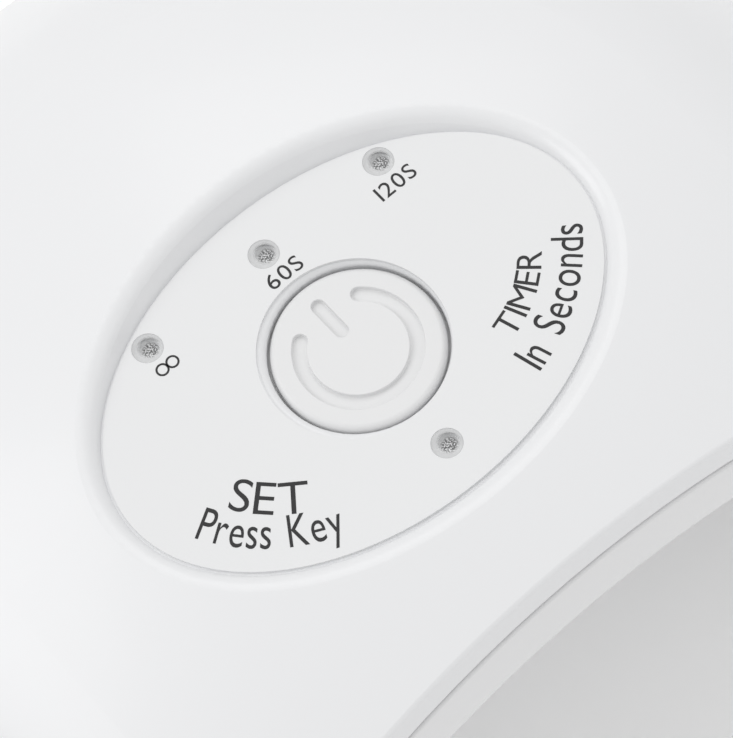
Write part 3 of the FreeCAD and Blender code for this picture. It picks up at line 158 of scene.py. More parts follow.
def build_mottle() -> bpy.types.NodeTree:
    """Build a slow drift between two tones.

    Returns:
        The group, with a Colour output.
    """
    group = new_group(
        Effect.MOTTLE,
        {"Tone": (Socket.COLOUR, (0.8, 0.8, 0.8, 1)), "Shade": (Socket.COLOUR, (0.7, 0.7, 0.7, 1)),
         "Scale": (Socket.VALUE, 30.0), "Amount": (Socket.VALUE, 0.3)},
        {"Colour": Socket.COLOUR},
    )
    nodes, links = group.nodes, group.links
    start, finish = end_of(group, "NodeGroupInput"), end_of(group, "NodeGroupOutput")
    place = nodes.new("ShaderNodeTexCoord")
    cloud = nodes.new("ShaderNodeTexNoise")
    cloud.inputs["Detail"].default_value = CLOUD_DETAIL
    cloud.inputs["Roughness"].default_value = CLOUD_ROUGHNESS
    links.new(place.outputs["Object"], cloud.inputs["Vector"])
    links.new(start.outputs["Scale"], cloud.inputs["Scale"])
    weight = nodes.new("ShaderNodeMath")
    weight.operation = "MULTIPLY"
    weight.use_clamp = True
    links.new(cloud.outputs["Fac"], weight.inputs[0])
    links.new(start.outputs["Amount"], weight.inputs[1])
    mix = nodes.new("ShaderNodeMix")
    mix.data_type = "RGBA"
    links.new(weight.outputs[0], mix.inputs["Factor"])
    links.new(start.outputs["Tone"], mix.inputs[MIX_FIRST])
    links.new(start.outputs["Shade"], mix.inputs[MIX_SECOND])
    links.new(mix.outputs[MIX_RESULT], finish.inputs["Colour"])
    return group


def build_patch() -> bpy.types.NodeTree:
    """Build a soft-edged round patch about a piece's own upright axis.

    Returns:
        The group, with a Mask output that is one inside the patch.
    """
    group = new_group(
        Effect.PATCH,
        {"Inner": (Socket.VALUE, 0.5 * MM), "Outer": (Socket.VALUE, MM),
         "Aside": (Socket.VECTOR, (0.0, 0.0, 0.0))},
        {"Mask": Socket.VALUE},
    )
    nodes, links = group.nodes, group.links
    start, finish = end_of(group, "NodeGroupInput"), end_of(group, "NodeGroupOutput")
    place = nodes.new("ShaderNodeTexCoord")
    moved = nodes.new("ShaderNodeVectorMath")
    moved.operation = "SUBTRACT"
    flat = nodes.new("ShaderNodeVectorMath")
    flat.operation = "MULTIPLY"
    flat.inputs[1].default_value = (1.0, 1.0, 0.0)
    away = nodes.new("ShaderNodeVectorMath")
    away.operation = "LENGTH"
    fade = nodes.new("ShaderNodeMapRange")
    fade.interpolation_type = "SMOOTHSTEP"
    fade.inputs["To Min"].default_value = 1.0
    fade.inputs["To Max"].default_value = 0.0
    links.new(place.outputs["Object"], moved.inputs[0])
    links.new(start.outputs["Aside"], moved.inputs[1])
    links.new(moved.outputs["Vector"], flat.inputs[0])
    links.new(flat.outputs["Vector"], away.inputs[0])
    links.new(away.outputs["Value"], fade.inputs["Value"])
    links.new(start.outputs["Inner"], fade.inputs["From Min"])
    links.new(start.outputs["Outer"], fade.inputs["From Max"])
    links.new(fade.outputs["Result"], finish.inputs["Mask"])
    return group


def effect_node(material: bpy.types.Material, effect: Effect,
                **values: object) -> bpy.types.Node:
    """Place a shared effect in a material and set its inputs.

    Args:
        material: The material that uses the effect.
        effect: Which effect.
        **values: Input name to value.

    Returns:
        The group node.
    """
    makers = {Effect.GRAIN: build_grain, Effect.MOTTLE: build_mottle,
              Effect.PATCH: build_patch}
    group = bpy.data.node_groups.get(effect.value) or makers[effect]()
    node = material.node_tree.nodes.new("ShaderNodeGroup")
    node.node_tree = group
    for name, value in values.items():
        node.inputs[name].default_value = value
    return node


# ---------------------------------------------------------------- finishes


def blank_material(name: str) -> tuple[bpy.types.Material, bpy.types.Node]:
    """Make a material with nodes.

    Args:
        name: Name of the material.

    Returns:
        The material and its shader.
    """
    material = bpy.data.materials.new(name)
    material.use_nodes = True
    return material, material.node_tree.nodes[SHADER]


def add_bump(material: bpy.types.Material, height: bpy.types.NodeSocket, strength: float,
             distance: float) -> None:
    """Feed a height to the shader's normal through a bump.

    Args:
        material: The material.
        height: The socket that gives the height.
        strength: Strength of the bump.
        distance: Height of the bump, in metres.
    """
    bump = material.node_tree.nodes.new("ShaderNodeBump")
    bump.inputs["Strength"].default_value = strength
    bump.inputs["Distance"].default_value = distance
    shader = material.node_tree.nodes[SHADER]
    material.node_tree.links.new(height, bump.inputs["Height"])
    material.node_tree.links.new(bump.outputs["Normal"], shader.inputs["Normal"])


@dataclass(frozen=True)
class Surface:
    """A finish whose material is made once and then shared."""

    name: str

    def paint(self, material: bpy.types.Material, shader: bpy.types.Node) -> None:
        """Lay out the material's nodes; each kind of surface has its own way."""
        raise NotImplementedError

    def build(self) -> bpy.types.Material:
        """Make the material, or find the one that is already made.

        Returns:
            The material.
        """
        made = bpy.data.materials.get(self.name)
        if made is None:
            made, shader = blank_material(self.name)
            self.paint(made, shader)
        return made


@dataclass(frozen=True)
class Finish(Surface):
    """A surface with fine grain and a slow drift between two tones."""

    tone: Colour
    shade: Colour
    roughness: float
    spread: float = 0.05
    grain_scale: float = 900.0
    grain_height: float = 0.01 * MM
    grain_strength: float = 0.1
    coat: float = 0.0
    coat_roughness: float = 0.1
    metallic: float = 0.0
    ior: float = 1.5
    mottle_scale: float = 30.0
    mottle_amount: float = 0.3
    transmission: float = 0.0
    glow: float = 0.0

    def paint(self, material: bpy.types.Material, shader: bpy.types.Node) -> None:
        """Set the plain values, and feed the colour, roughness and normal.

        Args:
            material: The new material.
            shader: Its shader.
        """
        links = material.node_tree.links
        shader.inputs["Metallic"].default_value = self.metallic
        shader.inputs["IOR"].default_value = self.ior
        shader.inputs["Coat Weight"].default_value = self.coat
        shader.inputs["Coat Roughness"].default_value = self.coat_roughness
        shader.inputs["Transmission Weight"].default_value = self.transmission
        shader.inputs["Emission Color"].default_value = (1.0, 1.0, 1.0, 1.0)
        shader.inputs["Emission Strength"].default_value = self.glow
        grain = effect_node(material, Effect.GRAIN, Scale=self.grain_scale,
                            Roughness=self.roughness, Spread=self.spread)
        mottle = effect_node(material, Effect.MOTTLE, Tone=(*self.tone, 1),
                             Shade=(*self.shade, 1), Scale=self.mottle_scale,
                             Amount=self.mottle_amount)
        links.new(mottle.outputs["Colour"], shader.inputs["Base Color"])
        links.new(grain.outputs["Roughness"], shader.inputs["Roughness"])
        add_bump(material, grain.outputs["Height"], self.grain_strength, self.grain_height)


@dataclass(frozen=True)
class SpeckledLens(Surface):
    """Diffused clear epoxy with the dark speckled cup of the lamp showing in its middle."""

    name: str = "lamp_epoxy_speckled"
    pale: Colour = (0.95, 0.955, 0.96)
    dark: Colour = (0.04, 0.04, 0.042)
    cup_radius: float = 1.25 * MM
    cup_soft: float = 0.55 * MM
    cup_aside: float = 0.3 * MM
    speck_scale: float = 4600.0
    speck_low: float = 0.44
    speck_high: float = 0.53
    speck_detail: float = 2.0
    roughness: float = 0.25
    spread: float = 0.1
    grain_height: float = 0.01 * MM
    grain_strength: float = 0.1

    def paint(self, material: bpy.types.Material, shader: bpy.types.Node) -> None:
        """Mix dark specks into the pale epoxy inside the cup.

        Args:
            material: The new material.
            shader: Its shader.
        """
        nodes, links = material.node_tree.nodes, material.node_tree.links
        place = nodes.new("ShaderNodeTexCoord")
        cup = effect_node(material, Effect.PATCH, Inner=self.cup_radius - self.cup_soft,
                          Outer=self.cup_radius, Aside=(self.cup_aside, 0.0, 0.0))
        specks = nodes.new("ShaderNodeTexNoise")
        specks.inputs["Scale"].default_value = self.speck_scale
        specks.inputs["Detail"].default_value = self.speck_detail
        spots = nodes.new("ShaderNodeMapRange")
        spots.inputs["From Min"].default_value = self.speck_low
        spots.inputs["From Max"].default_value = self.speck_high
        weight = nodes.new("ShaderNodeMath")
        weight.operation = "MULTIPLY"
        mix = nodes.new("ShaderNodeMix")
        mix.data_type = "RGBA"
        mix.inputs[MIX_FIRST].default_value = (*self.pale, 1)
        mix.inputs[MIX_SECOND].default_value = (*self.dark, 1)
        links.new(place.outputs["Object"], specks.inputs["Vector"])
        links.new(specks.outputs["Fac"], spots.inputs["Value"])
        links.new(cup.outputs["Mask"], weight.inputs[0])
        links.new(spots.outputs["Result"], weight.inputs[1])
        links.new(weight.outputs[0], mix.inputs["Factor"])
        links.new(mix.outputs[MIX_RESULT], shader.inputs["Base Color"])
        grain = effect_node(material, Effect.GRAIN, Scale=self.speck_scale,
                            Roughness=self.roughness, Spread=self.spread)
        links.new(grain.outputs["Roughness"], shader.inputs["Roughness"])
        add_bump(material, grain.outputs["Height"], self.grain_strength, self.grain_height)


@dataclass(frozen=True)
class WindowFilm(Surface):
    """Pale translucent film that is clear in its middle."""

    name: str = "window_pale_film"
    tone: Colour = (0.76, 0.765, 0.77)
    shade: Colour = (0.73, 0.735, 0.74)
    clear_inner: float = 0.95 * MM
    clear_outer: float = 1.5 * MM
    clear_aside: float = 0.15 * MM
    middle_alpha: float = 0.06
    rim_alpha: float = 0.62
    mottle_scale: float = 400.0
    roughness: float = 0.4
    grain_scale: float = 4000.0
    grain_height: float = 0.01 * MM
    grain_strength: float = 0.1

    def paint(self, material: bpy.types.Material, shader: bpy.types.Node) -> None:
        """Let the film fade from its pale rim to its clear middle.

        Args:
            material: The new material.
            shader: Its shader.
        """
        nodes, links = material.node_tree.nodes, material.node_tree.links
        clear = effect_node(material, Effect.PATCH, Inner=self.clear_inner,
                            Outer=self.clear_outer, Aside=(self.clear_aside, 0.0, 0.0))
        alpha = nodes.new("ShaderNodeMath")
        alpha.operation = "MULTIPLY_ADD"
        alpha.inputs[1].default_value = self.middle_alpha - self.rim_alpha
        alpha.inputs[2].default_value = self.rim_alpha
        links.new(clear.outputs["Mask"], alpha.inputs[0])
        links.new(alpha.outputs[0], shader.inputs["Alpha"])
        mottle = effect_node(material, Effect.MOTTLE, Tone=(*self.tone, 1),
                             Shade=(*self.shade, 1), Scale=self.mottle_scale)
        links.new(mottle.outputs["Colour"], shader.inputs["Base Color"])
        grain = effect_node(material, Effect.GRAIN, Scale=self.grain_scale,
                            Roughness=self.roughness)
        links.new(grain.outputs["Roughness"], shader.inputs["Roughness"])
        add_bump(material, grain.outputs["Height"], self.grain_strength, self.grain_height)


SHELL_WHITE = Finish("shell_white_gloss", (0.845, 0.85, 0.86), (0.80, 0.80, 0.81), 0.34,
                     grain_strength=0.04, coat=0.2, coat_roughness=0.15)
LABEL_WHITE = Finish("label_white_film", (0.815, 0.82, 0.825), (0.78, 0.78, 0.785), 0.55,
                     grain_scale=2600, grain_strength=0.12)
BUTTON_WHITE = Finish("button_white_satin", (0.795, 0.797, 0.80), (0.77, 0.77, 0.775), 0.42,
                      grain_scale=2200, grain_strength=0.10)
LINER_WHITE = Finish("liner_white_satin", (0.83, 0.83, 0.835), (0.79, 0.79, 0.795), 0.36,
                     grain_strength=0.05, coat=0.1)
FRAME_WHITE = Finish("frame_white_texture", (0.80, 0.80, 0.80), (0.74, 0.74, 0.74), 0.55,
                     grain_scale=2200, grain_strength=0.5)
FOOT_GREY = Finish("foot_grey_rubber", (0.10, 0.10, 0.105), (0.07, 0.07, 0.07), 0.75,
                   grain_scale=3000, grain_strength=0.6)
INK_BLACK = Finish("print_black_ink", (0.012, 0.012, 0.013), (0.02, 0.02, 0.02), 0.5,
                   grain_scale=5000, grain_strength=0.15)
LEAD_TIN = Finish("lead_tinned", (0.75, 0.74, 0.71), (0.6, 0.59, 0.57), 0.35, metallic=1.0,
                  mottle_scale=900)
LENS_CLEAR = Finish("bead_lens_clear", (0.97, 0.97, 0.98), (0.95, 0.95, 0.97), 0.05,
                    spread=0.02, grain_strength=0.02, transmission=1.0, ior=1.46)
BEAD_CERAMIC = Finish("bead_base_ceramic", (0.80, 0.80, 0.78), (0.70, 0.70, 0.68), 0.4,
                      grain_scale=2500, mottle_scale=600)
DIE_GOLD = Finish("bead_die", (0.62, 0.47, 0.12), (0.35, 0.26, 0.08), 0.3, metallic=0.4,
                  mottle_scale=1500, mottle_amount=0.8)
SCREW_STEEL = Finish("screw_zinc_plated", (0.66, 0.66, 0.67), (0.50, 0.50, 0.52), 0.3,
                     metallic=1.0, mottle_scale=300, grain_scale=1800, grain_strength=0.2)
SOCKET_STEEL = Finish("socket_steel", (0.70, 0.70, 0.70), (0.55, 0.55, 0.55), 0.25,
                      metallic=1.0, mottle_scale=260, grain_scale=1500, grain_strength=0.1)
PART_BLACK = Finish("part_black_moulded", (0.025, 0.025, 0.027), (0.04, 0.04, 0.042), 0.5,
                    grain_scale=2500, grain_strength=0.3, mottle_scale=250)
BOARD_GREEN = Finish("board_green_mask", (0.015, 0.14, 0.045), (0.03, 0.22, 0.08), 0.3,
                     grain_scale=1200, mottle_scale=260, mottle_amount=0.9, coat=0.3)
BOARD_ALU = Finish("board_white_mask", (0.78, 0.78, 0.76), (0.70, 0.70, 0.67), 0.35,
                   grain_scale=1400, mottle_scale=160, coat=0.2)
COIL_GREY = Finish("coil_grey_ferrite", (0.09, 0.09, 0.09), (0.05, 0.05, 0.05), 0.6,
                   grain_scale=2500, grain_strength=0.6, mottle_scale=500)
CAN_ALU = Finish("can_aluminium", (0.72, 0.72, 0.73), (0.60, 0.60, 0.62), 0.25, metallic=1.0,
                 mottle_scale=300)
CHIP_TAN = Finish("chip_tan_ceramic", (0.42, 0.29, 0.16), (0.33, 0.22, 0.12), 0.45,
                  mottle_scale=1200)
CONNECTOR_CREAM = Finish("connector_cream", (0.78, 0.74, 0.62), (0.70, 0.66, 0.54), 0.4,
                         mottle_scale=200)
PLUNGER_BLACK = Finish("plunger_black", (0.03, 0.03, 0.03), (0.05, 0.05, 0.05), 0.4,
                       mottle_scale=600)
WIRE_RED = Finish("wire_red_pvc", (0.50, 0.02, 0.02), (0.38, 0.015, 0.015), 0.35,
                  mottle_scale=150)
WIRE_BLACK = Finish("wire_black_pvc", (0.02, 0.02, 0.02), (0.035, 0.035, 0.035), 0.35,
                    mottle_scale=150)
WIRE_WHITE = Finish("wire_white_pvc", (0.75, 0.75, 0.74), (0.66, 0.66, 0.64), 0.35,
                    mottle_scale=150)

CARRIED_OVER: dict[str, Finish] = {
    "top_shell": SHELL_WHITE, "control_label": LABEL_WHITE, "inner_liner": LINER_WHITE,
    "base_frame": FRAME_WHITE, "rubber_feet": FOOT_GREY, "case_screws": SCREW_STEEL,
    "control_board": BOARD_GREEN, "inlet_board": BOARD_GREEN, "roof_lamp_board": BOARD_ALU,
    "left_lamp_board": BOARD_ALU, "right_lamp_board": BOARD_ALU,
    "rear_lamp_boards": BOARD_ALU, "board_screws": SCREW_STEEL,
    "lamp_board_screws": SCREW_STEEL, "inlet_board_screws": SCREW_STEEL,
    "uv_bead_bases": BEAD_CERAMIC, "uv_bead_lenses": LENS_CLEAR,
    "timer_chip": PART_BLACK, "driver_transistors": PART_BLACK, "power_inductor": COIL_GREY,
    "electrolytic_capacitor": CAN_ALU, "board_capacitors": CHIP_TAN,
    "board_resistors": PART_BLACK, "inlet_connector": CONNECTOR_CREAM,
    "lamp_connector": CONNECTOR_CREAM, "tact_switch_body": PART_BLACK,
    "tact_plunger": PLUNGER_BLACK, "socket_shell": SOCKET_STEEL, "socket_tongue": PART_BLACK,
    "supply_wire_red": WIRE_RED, "supply_wire_black": WIRE_BLACK, "lamp_wires": WIRE_WHITE,
}


# ---------------------------------------------------------------- mesh helpers


def add_piece(name: str, form: bmesh.types.BMesh, finish: Surface, body: str,
              spot: Vector = Vector()) -> bpy.types.Object:
    """Turn a form into a smooth-shaded piece that rides on a body.

    Args:
        name: Name of the piece.
        form: Its shape, which is freed.
        finish: Its finish.
        body: The body that it rides on.
        spot: Where the piece's own middle goes.

    Returns:
        The new object.
    """
    bmesh.ops.recalc_face_normals(form, faces=form.faces)
    mesh = bpy.data.meshes.new(name)
    form.to_mesh(mesh)
    form.free()
    for face in mesh.polygons:
        face.use_smooth = True
    mesh.set_sharp_from_angle(angle=SHARP_ANGLE)
    piece = bpy.data.objects.new(name, mesh)
    bpy.context.scene.collection.objects.link(piece)
    mesh.materials.append(finish.build())
    piece.location = spot
    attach(piece, body)
    return piece


def spin_outline(form: bmesh.types.BMesh, outline: list[Spot], centre: Vector,
                 steps: int, joined: bool) -> list[list[bmesh.types.BMVert]]:
    """Spin an outline of radius and height round an upright axis.

    Args:
        form: The mesh that it is added to.
        outline: Points of radius and height.
        centre: Where the axis stands.
        steps: Number of steps round.
        joined: Whether the outline's last point joins its first.

    Returns:
        The rings of vertices, one for each point.
    """
    rings = []
    for radius, height in outline:
        ring = []
        for step in range(steps):
            turn = 2 * math.pi * step / steps
            ring.append(form.verts.new(centre + Vector((radius * math.cos(turn),
                                                        radius * math.sin(turn), height))))
        rings.append(ring)
    pairs = list(zip(rings, rings[1:]))
    if joined:
        pairs.append((rings[-1], rings[0]))
    for near, far in pairs:
        for step in range(steps):
            after = (step + 1) % steps
            form.faces.new((near[step], near[after], far[after], far[step]))
    return rings


def round_corner(radius: float, height: float, soft: float, steps: int) -> list[Spot]:
    """Round an outer top corner, from the side to the top.

    Args:
        radius: Radius of the side.
        height: Height of the top.
        soft: Radius of the corner itself.
        steps: Number of steps round it.

    Returns:
        Points of radius and height.
    """
    points = []
    for step in range(steps + 1):
        turn = math.pi / 2 * step / steps
        points.append((radius - soft + soft * math.cos(turn),
                       height - soft + soft * math.sin(turn)))
    return points


# ---------------------------------------------------------------- power button


@dataclass
class PowerButton:
    """The round cap with its sunk power symbol."""

    radius: float = 10.0 * MM
    rim_round: float = 0.8 * MM
    face: float = 1.6 * MM
    wall: float = 1.4 * MM
    flange: float = 1.2 * MM
    nub_radius: float = 1.7 * MM
    shell_under: float = 2.0 * MM
    collar_gap: float = 0.05 * MM
    ring_outer: float = 7.5 * MM
    ring_inner: float = 5.75 * MM
    opening: float = 40.0
    bar_low: float = 2.06 * MM
    bar_high: float = 7.8 * MM
    bar_width: float = 1.7 * MM
    depth: float = 0.62 * MM
    edge_round: float = 0.09 * MM
    edge_steps: int = 3
    sharp_angle: float = math.radians(50)
    steps: int = 192
    rim_steps: int = 10
    ring_steps: int = 96
    end_steps: int = 16

    def arc_points(self, radius: float, first: float, last: float, count: int,
                   centre: Spot = (0.0, 0.0)) -> list[Spot]:
        """Place points along an arc.

        Args:
            radius: Radius of the arc.
            first: Its first angle, in degrees clockwise from +Y.
            last: Its last angle.
            count: Number of steps along it.
            centre: Its centre.

        Returns:
            The points.
        """
        points = []
        for step in range(count + 1):
            turn = math.radians(first + (last - first) * step / count)
            points.append((centre[0] + radius * math.sin(turn),
                           centre[1] + radius * math.cos(turn)))
        return points

    def ring_outline(self) -> list[Spot]:
        """Draw the open ring with its two round ends.

        Returns:
            The points of its outline.
        """
        middle = (self.ring_outer + self.ring_inner) / 2
        half = (self.ring_outer - self.ring_inner) / 2
        first, last = self.opening, 360 - self.opening
        ends = [(middle * math.sin(math.radians(turn)), middle * math.cos(math.radians(turn)))
                for turn in (first, last)]
        outer = self.arc_points(self.ring_outer, first, last, self.ring_steps)
        far = self.arc_points(half, last, last + 180, self.end_steps, ends[1])[1:-1]
        inner = self.arc_points(self.ring_inner, last, first, self.ring_steps)
        near = self.arc_points(half, first + 180, first + 360, self.end_steps, ends[0])[1:-1]
        return outer + far + inner + near

    def bar_outline(self) -> list[Spot]:
        """Draw the short bar with its two round ends.

        Returns:
            The points of its outline.
        """
        half = self.bar_width / 2
        return (self.arc_points(half, -90, 90, self.end_steps, (0.0, self.bar_high - half))
                + self.arc_points(half, 90, 270, self.end_steps, (0.0, self.bar_low + half)))

    def add_prism(self, form: bmesh.types.BMesh, outline: list[Spot], centre: Vector,
                  low: float, high: float) -> None:
        """Add an upright prism.

        Args:
            form: The mesh that it is added to.
            outline: Its outline about the centre.
            centre: The button's axis.
            low: Height of its foot.
            high: Height of its top.
        """
        rings = [[form.verts.new((centre.x + x, centre.y + y, height)) for x, y in outline]
                 for height in (low, high)]
        form.faces.new(rings[0])
        form.faces.new(rings[1])
        for step in range(len(outline)):
            after = (step + 1) % len(outline)
            form.faces.new((rings[0][step], rings[0][after], rings[1][after], rings[1][step]))

    def temporary(self, name: str, form: bmesh.types.BMesh) -> bpy.types.Object:
        """Make a plain object, for a modifier to work on.

        Args:
            name: Its name.
            form: Its shape, which is freed.

        Returns:
            The object.
        """
        bmesh.ops.recalc_face_normals(form, faces=form.faces)
        mesh = bpy.data.meshes.new(name)
        form.to_mesh(mesh)
        form.free()
        made = bpy.data.objects.new(name, mesh)
        bpy.context.scene.collection.objects.link(made)
        return made

    def carve(self, blank: bpy.types.Object, tool: bpy.types.Object) -> bmesh.types.BMesh:
        """Cut the tool out of the blank and soften every sharp edge.

        Args:
            blank: The whole cap, which is removed.
            tool: The symbol, which is removed.

        Returns:
            The finished form.
        """
        cut = blank.modifiers.new("cut", "BOOLEAN")
        cut.operation, cut.solver, cut.object = "DIFFERENCE", "EXACT", tool
        soft = blank.modifiers.new("soft", "BEVEL")
        soft.width, soft.segments = self.edge_round, self.edge_steps
        soft.limit_method, soft.angle_limit = "ANGLE", self.sharp_angle
        bpy.context.view_layer.update()
        done = blank.evaluated_get(bpy.context.evaluated_depsgraph_get())
        form = bmesh.new()
        form.from_mesh(done.to_mesh())
        done.to_mesh_clear()
        for item in (blank, tool):
            mesh = item.data
            bpy.data.objects.remove(item)
            bpy.data.meshes.remove(mesh)
        return form

    def build(self) -> None:
        """Build the cap round the CAD button's own middle, and let it stand for that node."""
        low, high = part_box("power_button")
        centre = Vector(((low.x + high.x) / 2, (low.y + high.y) / 2, 0.0))
        collar_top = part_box("control_label")[0].z - self.shell_under - self.collar_gap
        under = high.z - self.face
        collar_low = collar_top - self.flange
        form = bmesh.new()
        outline = [(self.nub_radius, low.z), (self.nub_radius, under),
                   (self.radius - self.wall, under), (self.radius - self.wall, collar_low),
                   (self.radius + self.flange, collar_low),
                   (self.radius + self.flange, collar_top), (self.radius, collar_top),
                   *round_corner(self.radius, high.z, self.rim_round, self.rim_steps)]
        made = spin_outline(form, outline, centre, self.steps, joined=False)
        form.faces.new(made[0])
        form.faces.new(made[-1])
        symbol = bmesh.new()
        for shape in (self.ring_outline(), self.bar_outline()):
            self.add_prism(symbol, shape, centre, high.z - self.depth, high.z + self.depth)
        carved = self.carve(self.temporary("cap_blank", form), self.temporary("symbol", symbol))
        cap = add_piece("power_button_cap", carved, BUTTON_WHITE, "power_button")
        even = cap.modifiers.new("even", "WEIGHTED_NORMAL")
        even.keep_sharp = True
        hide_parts("power_button")
        log.info("power button built with %d faces", len(cap.data.polygons))


# ---------------------------------------------------------------- indicator lamps


@dataclass
class IndicatorLamps:
    """Four flat-topped lamps, each under a clear round window in the label."""

    nodes: tuple[str, ...] = ("indicator_lamp_hold", "indicator_lamp_60s",
                              "indicator_lamp_120s", "indicator_lamp_power")
    radius: float = 1.75 * MM
    edge_round: float = 0.3 * MM
    tall: float = 5.3 * MM
    rim: float = 0.4 * MM
    rim_tall: float = 1.0 * MM
    foot_ring: float = 0.0002 * MM
    lead_pitch: float = 1.27 * MM
    lead_side: float = 0.5 * MM
    window_radius: float = 1.81 * MM
    window_thick: float = 0.12 * MM
    window_sunk: float = 0.03 * MM
    steps: int = 64
    edge_steps: int = 6

    def build_bulb(self, node: str) -> None:
        """Build one lamp with its rim and leads about its own middle.

        Args:
            node: The CAD lamp that it stands for.
        """
        low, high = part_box(node)
        foot = high.z - self.tall
        middle = Vector(((low.x + high.x) / 2, (low.y + high.y) / 2, high.z))
        outline = [(self.foot_ring, foot - high.z), (self.radius + self.rim, foot - high.z),
                   (self.radius + self.rim, foot - high.z + self.rim_tall),
                   (self.radius, foot - high.z + self.rim_tall),
                   *round_corner(self.radius, 0.0, self.edge_round, self.edge_steps)]
        form = bmesh.new()
        made = spin_outline(form, outline, Vector(), self.steps, joined=False)
        form.faces.new(made[0])
        form.faces.new(made[-1])
        bulb = add_piece(node + "_bulb", form, SpeckledLens(), "root", middle)
        leads = bmesh.new()
        for hand in (-1, 1):
            box = bmesh.ops.create_cube(leads, size=1.0)["verts"]
            long = foot - low.z
            bmesh.ops.scale(leads, vec=(self.lead_side, self.lead_side, long), verts=box)
            bmesh.ops.translate(leads, verts=box, vec=(
                middle.x + hand * self.lead_pitch / 2, middle.y, low.z + long / 2))
        add_piece(node + "_leads", leads, LEAD_TIN, "root")
        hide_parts(node)

    def build_window(self, node: str) -> None:
        """Lay the clear round window of one lamp in the label's hole.

        Args:
            node: The CAD lamp under the window.
        """
        middle = spot_of(node)
        middle.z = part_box("control_label")[1].z - self.window_sunk
        form = bmesh.new()
        outline = [(self.window_radius, -self.window_thick), (self.window_radius, 0.0)]
        made = spin_outline(form, outline, Vector(), self.steps, joined=False)
        form.faces.new(made[0])
        form.faces.new(made[-1])
        add_piece(node.replace("lamp", "window"), form, WindowFilm(), "root",
                  middle)

    def build(self) -> None:
        """Build every lamp and window."""
        for node in self.nodes:
            self.build_bulb(node)
            self.build_window(node)
        log.info("indicator lamps built")


# ---------------------------------------------------------------- label print


@dataclass(frozen=True)
class Mark:
    """A line of print on the label, along an arc through three places.

    The places are in millimetres from the label's middle, at the foot of the letters.
    """

    text: str
    cap: float
    start: Spot
    middle: Spot
    end: Spot
    weight: float = 0.0


